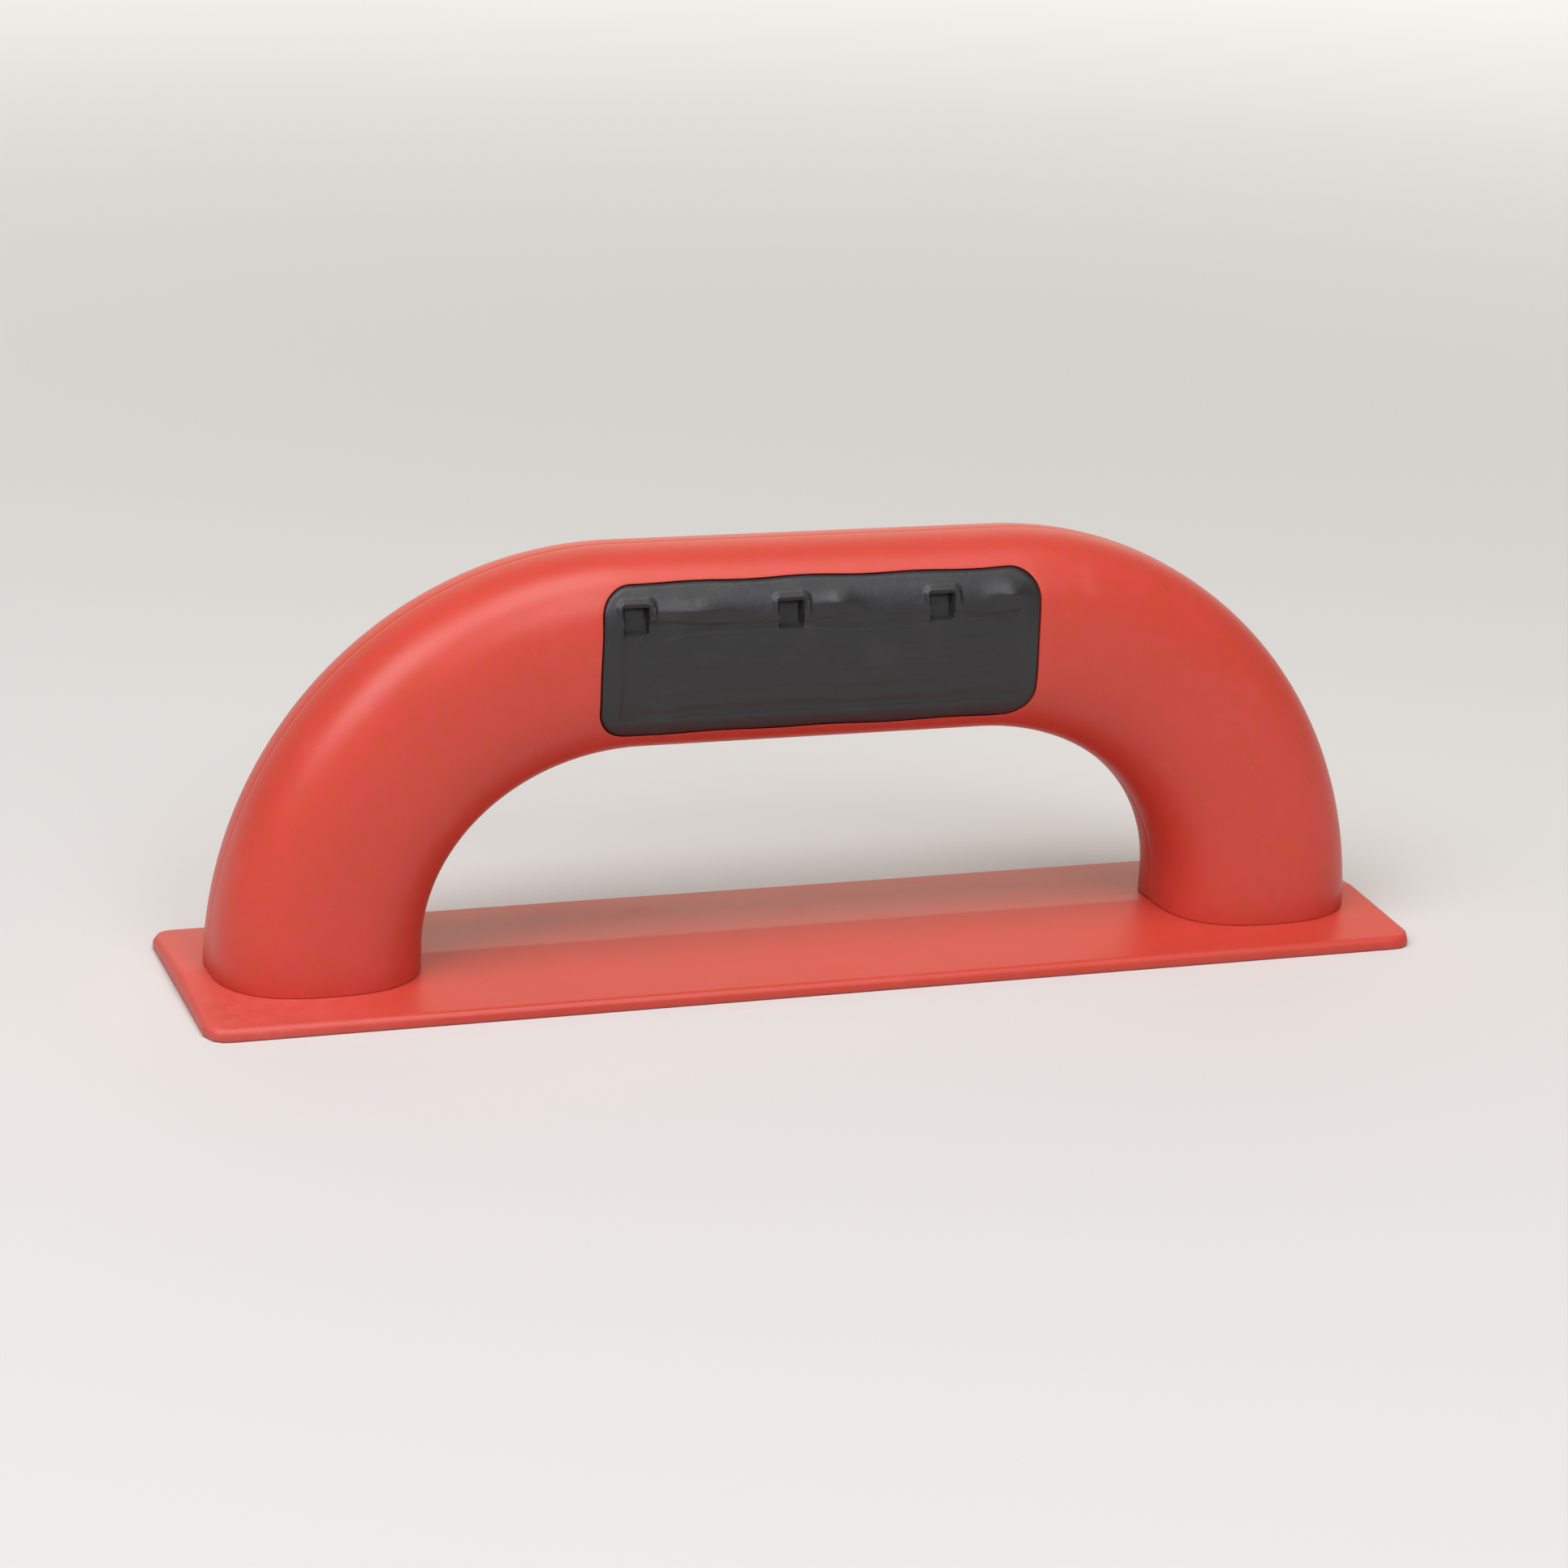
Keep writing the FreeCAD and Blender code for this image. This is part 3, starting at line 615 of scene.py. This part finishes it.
def pocket_window(rows, outline, margin):
    """The window of a sheet that clears an outline by at least a margin."""
    x, z = rows[..., 0], rows[..., 2]
    low = outline.centre - outline.half - margin
    high = outline.centre + outline.half + margin
    middle = rows.shape[0] // 2
    left = np.nonzero(z[middle] > high[1])[0][-1]
    right = np.nonzero(z[middle] < low[1])[0][0]
    band = x[:, left:right + 1]
    top = np.nonzero((band < low[0]).all(axis=1))[0][-1]
    bottom = np.nonzero((band > high[0]).all(axis=1))[0][0]
    return top, bottom, left, right


TOWARDS_SPINE = (0.0, 0.35, 0.7)
TOWARDS_EDGE = (0.25, 0.5, 0.75)


def closed_over(work, ring, outline, surface):
    """Close an end over its outline: rings drawn in to its spine, then one face."""
    rings = np.stack([surface(places) for places
                      in between(ring, outline.spine(ring), TOWARDS_SPINE)])
    work.sheet(rings, closed=True)
    work.cap(rings[-1])


WINDOW_MARGIN = 0.7 * MM  # skin left between the pocket's lip and the window round it
LIP_STEPS = 4


def shell_mesh(side, arch, grip):
    """One half of the handle: skin, inner wall, seam faces, soles and grip pocket."""
    outside = arch.rows()
    inside = arch.rows(arch.handle.wall)
    outline = grip_outline(side, grip)
    window = pocket_window(outside, outline, grip.gap + grip.lip + WINDOW_MARGIN)
    flip = (1, side, 1)
    work = Patchwork()
    work.sheet(outside * flip, hole=window)
    work.sheet(inside * flip)
    for column in (0, -1):
        work.sheet(np.stack([outside[:, column], inside[:, column]]) * flip)
    for row in (0, -1):
        work.sheet(np.stack([outside[row], inside[row]]) * flip)

    ring = window_ring(outside, window)
    places = ring[:, (0, 2)]
    edge = outline.nearest(places, grip.gap + grip.lip)
    rings = [ring * flip]
    for step in between(places, edge, TOWARDS_EDGE):
        rings.append(in_space(step, arch.skin(step), side))
    for set_back, drop in rounding(grip.lip, LIP_STEPS):
        rim = outline.nearest(places, grip.gap + set_back)
        rings.append(in_space(rim, arch.skin(rim) - drop, side))
    work.sheet(np.stack(rings), closed=True)
    pocket_depth = grip.depth + grip.gap

    def floor(at):
        return in_space(at, arch.skin(at) - pocket_depth, side)

    work.sheet(np.stack([rings[-1], floor(rim)]), closed=True)
    closed_over(work, rim, outline, floor)
    return work


# ---------------------------------------------------------------- grip insert relief

def soft_step(value, low, high):
    """0 below low, 1 above high and smooth between, for arrays."""
    share = np.clip((value - low) / (high - low), 0, 1)
    return share * share * (3 - 2 * share)


# the band's swellings: across and up from the insert's middle, then reach both ways
SWELLS = (
    (-26.5 * MM, 10.2 * MM, 7.0 * MM, 1.7 * MM),
    (2.5 * MM, 10.6 * MM, 3.6 * MM, 1.5 * MM),
    (38.5 * MM, 10.6 * MM, 3.6 * MM, 1.9 * MM),
)


def swellings(across, up, grip):
    """Soft mounds, where the rubber of the band bulges."""
    return sum(grip.swell_height * np.exp(-((across - middle) / wide) ** 2
                                          - ((up - level) / tall) ** 2)
               for middle, level, wide, tall in SWELLS)


PIP_TALLNESS = 1.1                # a pip's height over its width
COLLAR_FADE = (-0.4, 0.6)         # over these shares of half a pip, upwards
PIP_WALL = (-0.05 * MM, 0.25 * MM)  # where a pip's side starts and ends, inwards


def with_pips(height, across, up, grip):
    """Sink the square pips into a relief, each under a collar open at the bottom."""
    half_wide, half_tall = grip.pip_size / 2, PIP_TALLNESS * grip.pip_size / 2
    for step in (-1, 0, 1):
        off = np.abs(across - grip.pip_shift - step * grip.pip_pitch) - half_wide
        over = np.abs(up) - half_tall
        beyond = np.hypot(np.maximum(off, 0), np.maximum(over, 0))
        ridge = 1 - np.abs(beyond / grip.collar_width * 2 - 1)
        open_below = soft_step(up / half_tall, *COLLAR_FADE)
        height = height + grip.collar_height * soft_step(ridge, 0, 1) * open_below
        pip = soft_step(-np.maximum(off, over), *PIP_WALL)
        height = height * (1 - pip) - (grip.panel_depth + grip.pip_depth) * pip
    return height


BAND = 7.0 * MM           # between the insert's top edge and the panel
PANEL_FOOT = 3.0 * MM     # between its bottom edge and the panel
PANEL_END = 3.2 * MM      # between its ends and the panel
PANEL_SOFTNESS = {"top": 1.0 * MM, "bottom": 1.6 * MM, "end": 1.5 * MM}
RIB_FADE = 4.0 * MM       # left clear at the panel's ends, and the ribs' fade after it
RIB_SWAY = 2.0 / MM       # radians of the ribs' wave for each metre of the panel's
PIP_RISE = 0.4 * MM       # middle of the pips above the top of the panel
UNEVENNESS = 0.12 * MM
# height and length for each radian of the two waves in the panel's top edge
EDGE_WAVES = ((0.40 * MM, 7.5 * MM), (0.25 * MM, 3.1 * MM))


def unevenness(across, up):
    """The slight unevenness of moulded rubber, between -1 and 1."""
    return (np.sin(across / (9 * MM) + 1.3)
            * np.cos(up / (5 * MM) + across / (21 * MM)))


def grip_relief(places, outline, grip):
    """Height of the insert's moulded relief over its plain surface."""
    across, up = np.moveaxis(places - outline.centre, -1, 0)
    half_long, half_tall = outline.half
    panel_top = half_tall - BAND
    panel_bottom = PANEL_FOOT - half_tall
    inside_ends = half_long - PANEL_END - np.abs(across)
    wave = sum(tall * np.sin(across / long) for tall, long in EDGE_WAVES)
    panel = (soft_step(panel_top + wave - up, 0, PANEL_SOFTNESS["top"])
             * soft_step(up - panel_bottom, 0, PANEL_SOFTNESS["bottom"])
             * soft_step(inside_ends, 0, PANEL_SOFTNESS["end"]))

    rib_zone = panel * soft_step(inside_ends, RIB_FADE, 2 * RIB_FADE)
    pitch = (panel_top - panel_bottom) / (grip.rib_count + 1)
    turn = 2 * np.pi * (up - panel_bottom) / pitch + RIB_SWAY * wave
    ribs = (0.5 + 0.5 * np.cos(turn))**2
    height = (grip.rib_height * ribs * rib_zone - grip.panel_depth * panel
              + UNEVENNESS * unevenness(across, up)
              + swellings(across, up, grip) * (1 - panel))
    return with_pips(height, across, up - panel_top - PIP_RISE, grip)


RELIEF_MARGIN = 2.2 * MM   # between the insert's edge and the even grid of its face
RELIEF_SPACING = 0.30 * MM
SHOULDER_STEPS = 6


def insert_mesh(side, arch, grip):
    """One grip insert: relief face, rounded shoulder, wall and back."""
    outline = grip_outline(side, grip)
    # the groove round the insert is taken off the insert itself
    outline.corner -= grip.gap
    outline.half = outline.half - grip.gap

    def face(places, drop=0.0):
        relief = grip_relief(places, outline, grip)
        return in_space(places, arch.skin(places) + grip.proud + relief - drop, side)

    grid = outline.inner_grid(RELIEF_MARGIN, RELIEF_SPACING)
    work = Patchwork()
    work.sheet(face(grid))
    ring = rim_ring(grid)
    edge = outline.nearest(ring, -grip.shoulder)
    rings = [face(places) for places in (ring, *between(ring, edge, TOWARDS_EDGE))]
    for set_back, drop in rounding(grip.shoulder, SHOULDER_STEPS):
        rim = outline.nearest(ring, -set_back)
        rings.append(face(rim, drop))

    def back(places):
        return in_space(places, arch.skin(places) - grip.depth, side)

    rings.append(back(rim))
    work.sheet(np.stack(rings), closed=True)
    closed_over(work, rim, outline, back)
    return work


# ---------------------------------------------------------------- base plate

PLATE_MARGIN = 2.6 * MM    # between the plate's edge and the even grid of its top
PLATE_SPACING = 1.2 * MM
TOWARDS_RIM = (0.0, 0.4, 0.75)
RIM_STEPS = 6
BASE_STEPS = 3
RIDGE_GATHER = 0.6         # draws the grid's lines in towards the ridge
SHRINKAGE = 0.03 * MM      # the slight hollows of a moulded top


def plate_mesh(plate):
    """The plate: softly ridged top, round rim and corners, flat working face."""
    low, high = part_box("base_plate")
    half_wide = (high.y - low.y) / 2
    outline = RoundedOblong((0, 0), (high.x - low.x) / 2, half_wide, plate.corner_radius)

    def top(places, drop=0.0):
        x, y = places[..., 0], places[..., 1]
        away = np.sqrt(y**2 + plate.ridge_round**2)
        hollows = np.sin(x / (17 * MM) + 0.6) * np.cos(y / (9 * MM))
        z = (plate.edge + plate.ridge_rise * (1 - away / half_wide)
             + SHRINKAGE * hollows - drop)
        return np.stack([x, y, z], axis=-1)

    def level(places, z):
        return np.concatenate([places, np.full(places.shape[:-1] + (1,), z)], axis=-1)

    grid = outline.inner_grid(PLATE_MARGIN, PLATE_SPACING)
    gather = (np.abs(grid[..., 1:]) / (half_wide - PLATE_MARGIN)) ** RIDGE_GATHER
    grid = np.concatenate([grid[..., :1], grid[..., 1:] * gather], axis=-1)
    work = Patchwork()
    work.sheet(top(grid))
    ring = rim_ring(grid)
    edge = outline.nearest(ring, -plate.rim_round)
    rings = [top(places) for places in between(ring, edge, TOWARDS_RIM)]
    for set_back, drop in rounding(plate.rim_round, RIM_STEPS):
        rim = outline.nearest(ring, -set_back)
        rings.append(top(rim, drop))
    for set_back, drop in list(rounding(plate.base_round, BASE_STEPS))[::-1]:
        rings.append(level(outline.nearest(ring, -set_back), drop))
    work.sheet(np.stack(rings), closed=True)
    work.cap(rings[-1])
    return work


CUT_BELOW = 1.0 * MM       # the cutter's ends, outside the plate on both sides
CUT_ABOVE = 9.0 * MM
HOLE_SIDES = 64


def countersinks(screws):
    """A cutter for the four countersunk screw holes, widest at the working face."""
    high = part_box("base_screws")[1]
    reach_x, reach_y = high.x - screws.head_radius, high.y - screws.head_radius
    sink = screws.head_radius + screws.clearance
    hole = screws.hole_radius
    profile = [(sink, -CUT_BELOW), (sink, screws.head_rim),
               (hole, screws.head_rim + sink - hole), (hole, CUT_ABOVE)]
    turns = np.linspace(0, 2 * np.pi, HOLE_SIDES, endpoint=False)
    work = Patchwork()
    for x in (-reach_x, reach_x):
        for y in (-reach_y, reach_y):
            rings = np.stack([np.stack([x + radius * np.cos(turns),
                                        y + radius * np.sin(turns),
                                        np.full_like(turns, z)], axis=-1)
                              for radius, z in profile])
            work.sheet(rings, closed=True)
            work.cap(rings[0])
            work.cap(rings[-1])
    return work


def drilled(piece, cutter):
    """Cut one mesh from another, drop the cutter and shade the flat underside flat."""
    cut = piece.modifiers.new("holes", "BOOLEAN")
    cut.operation = "DIFFERENCE"
    cut.solver = "EXACT"
    cut.object = cutter
    depsgraph = bpy.context.evaluated_depsgraph_get()
    mesh = bpy.data.meshes.new_from_object(piece.evaluated_get(depsgraph))
    piece.modifiers.clear()
    solid, tool = piece.data, cutter.data
    piece.data = mesh
    bpy.data.objects.remove(cutter)
    for spare in (solid, tool):
        bpy.data.meshes.remove(spare)
    mesh.name = piece.name
    mesh.set_sharp_from_angle(angle=SHARP)
    for face in mesh.polygons:
        face.use_smooth = face.normal.z > DOWNWARD
    return piece


# ---------------------------------------------------------------- finishes

def red_plastic(name, colours, strength, rubbed_sheen_end=None):
    """Moulded red plastic: faint flow marks, fine spark grain, pale rubbed spots.

    Strength scales the colour. The rubbed sheen end is where, along X, the painted sheen
    and rubbing are full and where they have faded out.
    """
    finish = Finish(name, IOR=1.44)
    flow = finish.noise(scale=22.0, detail=3.0, rough=0.55)
    fine = finish.noise(scale=2600.0, detail=2.0, rough=0.6)
    grain = finish.noise(scale=5200.0, detail=1.0, rough=0.5)
    specks = finish.noise(scale=560.0, detail=1.0, rough=0.5)
    spots = finish.ease(specks, low=0.75, high=0.80)
    patches = finish.noise(scale=95.0, detail=4.0, rough=0.62)
    rubbed_and_sheen = 0.24 * finish.ease(patches, low=0.56, high=0.76)
    # the plate's left end is painted paler: a painted sheen, broken up by rubbed scuffs
    if rubbed_sheen_end:
        along = finish.add("ShaderNodeSeparateXYZ", inputs={"Vector": finish.place},
                           output="X")
        sheen_and_wear = 1 - finish.ease(along, *rubbed_sheen_end)
        scrapes = finish.noise(scale=300.0, detail=5.0, rough=0.7)
        scuffs = finish.ease(scrapes, low=0.40, high=0.70)
        rubbed_and_sheen = rubbed_and_sheen + sheen_and_wear * (0.38 + 0.42 * scuffs)
    tone = strength * (0.87 + 0.20 * flow + 0.10 * fine)
    mottle = finish.noise(scale=330.0, detail=3.0, rough=0.6)
    blotches = finish.ease(mottle, low=0.32, high=0.68)
    fresh = finish.blend(blotches, colours.red_warm, colours.red_cool)
    fresh = finish.blend(0.7, colours.red, fresh)
    base = finish.blend(rubbed_and_sheen + 0.3 * spots, fresh, colours.red_worn_and_sheen)
    shade = finish.add("ShaderNodeVectorMath", {"operation": "SCALE"},
                       {0: base, "Scale": tone})
    return finish.finish(
        Base_Color=shade,
        Roughness=0.30 + 0.10 * flow + 0.20 * rubbed_and_sheen + 0.04 * fine,
        Normal=finish.bump(fine * 0.6 + grain * 0.4, 0.012 * MM,
                           finish.bump(flow, 0.25 * MM)))


def grip_rubber(colours):
    """Soft black rubber: matt, finely grained, with greyer handled patches."""
    finish = Finish("grip_rubber", IOR=1.48)
    cloud = finish.noise(scale=85.0, detail=4.0, rough=0.6)
    grain = finish.noise(scale=3400.0, detail=2.0, rough=0.6)
    greyed = finish.ease(cloud, low=0.46, high=0.72)
    base = finish.blend(greyed * 0.5, colours.rubber,
                        [min(1.0, 1.7 * part) for part in colours.rubber])
    return finish.finish(
        Base_Color=base,
        Roughness=0.31 + 0.14 * cloud + 0.06 * grain,
        Normal=finish.bump(grain, 0.03 * MM, finish.bump(cloud, 0.3 * MM)))


def screw_steel(colours):
    """Zinc-plated steel with turning marks and dull patches."""
    finish = Finish("screw_steel", Metallic=1.0)
    patch = finish.noise(scale=700.0, detail=3.0, rough=0.6)
    marks = finish.noise(scale=9000.0, detail=1.0, rough=0.5)
    base = finish.blend(patch, colours.steel, [0.7 * part for part in colours.steel])
    return finish.finish(Base_Color=base, Roughness=0.25 + 0.3 * patch,
                         Normal=finish.bump(marks, 0.01 * MM))


def studio_floor(colours):
    """Matt pale floor, faintly mottled, that glows far off to stay even."""
    finish = Finish("studio_floor", Emission_Strength=1.0)
    cloud = finish.noise(scale=3.0, detail=2.0, rough=0.5)
    away = finish.add("ShaderNodeVectorMath", {"operation": "LENGTH"},
                      {0: finish.place}, output="Value")
    far = finish.ease(away, low=0.25, high=2.2)
    base = finish.blend(cloud, colours.floor, [0.985 * part for part in colours.floor])
    return finish.finish(
        Base_Color=base, Roughness=0.75 + 0.1 * cloud,
        Emission_Color=finish.blend(far, (0, 0, 0), colours.far_floor))


# ---------------------------------------------------------------- operators

def carried(piece, node):
    """Ride on the body and stand for a CAD node, which is hidden."""
    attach(piece, "root")
    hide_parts(node)


PLATE_STRENGTH = 0.95      # the plate's red beside the handle's
# where the painted sheen and rubbing at the plate's left end are full, and where they fade
RUBBED_SHEEN_FULLY = 12 * MM     # in from the plate's left end
RUBBED_SHEEN_FADED = 55 * MM


class HANDFLOAT_OT_base_plate(bpy.types.Operator):
    """Build the ridged base plate with its countersunk screw holes"""

    bl_idname = "handfloat.base_plate"
    bl_label = "Base plate"

    def execute(self, context):
        scene = context.scene
        left_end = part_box("base_plate")[0].x
        # a painted sheen, with rubbed wear, at the plate's left end
        rubbed_sheen_end = (left_end + RUBBED_SHEEN_FULLY, left_end + RUBBED_SHEEN_FADED)
        red = red_plastic("plate_plastic", scene.float_colours, PLATE_STRENGTH,
                          rubbed_sheen_end)
        plate = plate_mesh(scene.float_plate).piece("plate_moulding", red, SHARP)
        cutter = countersinks(scene.float_screws).piece("plate_cutter", red, SHARP)
        carried(drilled(plate, cutter), "base_plate")
        return {"FINISHED"}


class HANDFLOAT_OT_handle(bpy.types.Operator):
    """Build the two hollow shells of the arch handle"""

    bl_idname = "handfloat.handle"
    bl_label = "Handle shells"

    def execute(self, context):
        scene = context.scene
        arch = Arch(scene.float_handle, scene.float_plate)
        red = red_plastic("handle_plastic", scene.float_colours, 1.0)
        for side, node in SHELLS.items():
            name = node.replace("shell", "moulding")
            shell = shell_mesh(side, arch, scene.float_grip).piece(name, red, SHARP)
            carried(shell, node)
        return {"FINISHED"}


class HANDFLOAT_OT_grips(bpy.types.Operator):
    """Build the two soft grip inserts"""

    bl_idname = "handfloat.grips"
    bl_label = "Grip inserts"

    def execute(self, context):
        scene = context.scene
        arch = Arch(scene.float_handle, scene.float_plate)
        rubber = grip_rubber(scene.float_colours)
        for side, node in INSERTS.items():
            name = node.replace("insert", "pad")
            insert = insert_mesh(side, arch, scene.float_grip).piece(name, rubber, SHARP)
            carried(insert, node)
        return {"FINISHED"}


class HANDFLOAT_OT_screws(bpy.types.Operator):
    """Give the base and shell screws their plated steel"""

    bl_idname = "handfloat.screws"
    bl_label = "Screws"

    def execute(self, context):
        steel = screw_steel(context.scene.float_colours)
        for node in ("base_screws", "shell_screws"):
            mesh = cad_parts[node].data
            mesh.materials.clear()
            mesh.materials.append(steel)
        return {"FINISHED"}


# name, degrees round from the front, degrees up, side in metres, colour
SOFTBOXES = (
    ("left", -60, 47, 1.4, (0.95, 0.94, 1.0)),
    ("front", 10, 37, 0.95, (0.97, 0.96, 1.0)),
    ("top", 5, 74, 1.4, (1.0, 0.98, 0.97)),
)
SOFTBOX_DISTANCE = 2.4
SENSOR_WIDTH = 36.0  # millimetres, as a lens is measured
GLOW_CENTRE = (math.radians(165), math.radians(6))
GLOW_TIGHTNESS = 5.0
FLOOR_REACH = 12.0   # metres each way
FLOOR_DROP = 0.1 * MM
FLOOR_THICKNESS = 20 * MM


def towards(azimuth, elevation):
    """Unit vector round from the front and up, both in radians."""
    return Vector((math.sin(azimuth) * math.cos(elevation),
                   -math.cos(azimuth) * math.cos(elevation), math.sin(elevation)))


def softbox(name, azimuth, elevation, side, tint, strength):
    """A square area light that faces the object."""
    light = bpy.data.lights.new(f"{name}_softbox", "AREA")
    light.color = tint
    light.size = side
    light.energy = strength
    lamp = bpy.data.objects.new(light.name, light)
    direction = towards(math.radians(azimuth), math.radians(elevation))
    lamp.location = direction * SOFTBOX_DISTANCE
    lamp.rotation_euler = direction.to_track_quat("Z", "Y").to_euler()
    bpy.context.scene.collection.objects.link(lamp)


def stand_camera(stage):
    """The camera, turned about its aim point, level but for its roll."""
    turn, rise = stage.azimuth, stage.elevation
    back = towards(turn, rise)
    level = Vector((math.cos(turn), math.sin(turn), 0))
    upright = back.cross(level)
    right = level * math.cos(stage.roll) + upright * math.sin(stage.roll)
    above = back.cross(right)
    lens = bpy.data.cameras.new("studio_camera")
    lens.lens = stage.lens
    lens.sensor_width = SENSOR_WIDTH
    camera = bpy.data.objects.new("studio_camera", lens)
    axes = Matrix((right, above, back)).transposed().to_4x4()
    spot = Vector(stage.aim) + back * stage.distance
    camera.matrix_world = Matrix.Translation(spot) @ axes
    bpy.context.scene.collection.objects.link(camera)
    bpy.context.scene.camera = camera


def glowing_sky(tree, stage, tint):
    """Even pale surroundings with a wide soft glow low down behind the object."""
    sky = NodeWork(tree)
    place = sky.add("ShaderNodeTexCoord", output="Generated")
    facing = sky.add("ShaderNodeVectorMath", {"operation": "DOT_PRODUCT"},
                     {0: place, 1: towards(*GLOW_CENTRE)}, output="Value")
    spread = facing.at_least(0.0) ** GLOW_TIGHTNESS
    even = tree.nodes["Background"]
    sky.feed(even.inputs["Color"], (1, 1, 1))
    sky.feed(even.inputs["Strength"], stage.world)
    warm = sky.add("ShaderNodeBackground",
                   inputs={"Color": tint, "Strength": stage.glow * spread})
    both = sky.add("ShaderNodeAddShader",
                   inputs={0: Field(tree, even.outputs["Background"]), 1: warm})
    sky.feed(tree.nodes["World Output"].inputs["Surface"], both)


class HANDFLOAT_OT_stage(bpy.types.Operator):
    """Set the floor, the soft lights and the camera"""

    bl_idname = "handfloat.stage"
    bl_label = "Studio stage"

    def execute(self, context):
        scene = context.scene
        stage = scene.float_stage
        below = cad_bounds[0][2] - FLOOR_DROP
        work = Patchwork()
        corners = ((-1, -1), (1, -1), (1, 1), (-1, 1))
        top, bottom = (np.array([(FLOOR_REACH * x, FLOOR_REACH * y, z)
                                 for x, y in corners])
                       for z in (below, below - FLOOR_THICKNESS))
        work.sheet(np.stack([top, bottom]), closed=True)
        work.cap(top)
        work.cap(bottom)
        work.piece("studio_floor", studio_floor(scene.float_colours), SHARP)
        for name, azimuth, elevation, side, tint in SOFTBOXES:
            softbox(name, azimuth, elevation, side, tint, getattr(stage, name))
        world = bpy.data.worlds.new("studio_world")
        world.use_nodes = True
        glowing_sky(world.node_tree, stage, scene.float_colours.glow)
        scene.world = world
        scene.view_settings.view_transform = "Standard"
        stand_camera(stage)
        return {"FINISHED"}


class HANDFLOAT_PT_sidebar(bpy.types.Panel):
    """Sizes, finishes and build steps of the hand float"""

    bl_idname = "HANDFLOAT_PT_sidebar"
    bl_label = "Hand float"
    bl_space_type = "VIEW_3D"
    bl_region_type = "UI"
    bl_category = "Hand float"

    def draw(self, context):
        for name in GROUPS:
            group = getattr(context.scene, name)
            column = self.layout.column()
            for prop in group.bl_rna.properties:
                if prop.identifier not in ("rna_type", "name"):
                    column.prop(group, prop.identifier)
        for operator in OPERATORS:
            self.layout.operator(operator.bl_idname)


GROUPS = {"float_handle": HandleSizes, "float_plate": PlateSizes, "float_grip": GripSizes,
          "float_screws": ScrewSizes, "float_colours": FinishColours,
          "float_stage": StageSettings}
OPERATORS = (HANDFLOAT_OT_base_plate, HANDFLOAT_OT_handle, HANDFLOAT_OT_grips,
             HANDFLOAT_OT_screws, HANDFLOAT_OT_stage)


def register():
    for cls in (*GROUPS.values(), *OPERATORS, HANDFLOAT_PT_sidebar):
        bpy.utils.register_class(cls)
    for name, group in GROUPS.items():
        setattr(bpy.types.Scene, name, PointerProperty(type=group))


def unregister():
    for name in GROUPS:
        delattr(bpy.types.Scene, name)
    for cls in (HANDFLOAT_PT_sidebar, *OPERATORS, *GROUPS.values()):
        bpy.utils.unregister_class(cls)


def main():
    register()
    bpy.ops.handfloat.base_plate()
    bpy.ops.handfloat.handle()
    bpy.ops.handfloat.grips()
    bpy.ops.handfloat.screws()
    bpy.ops.handfloat.stage()


if __name__ == "__main__":
    main()
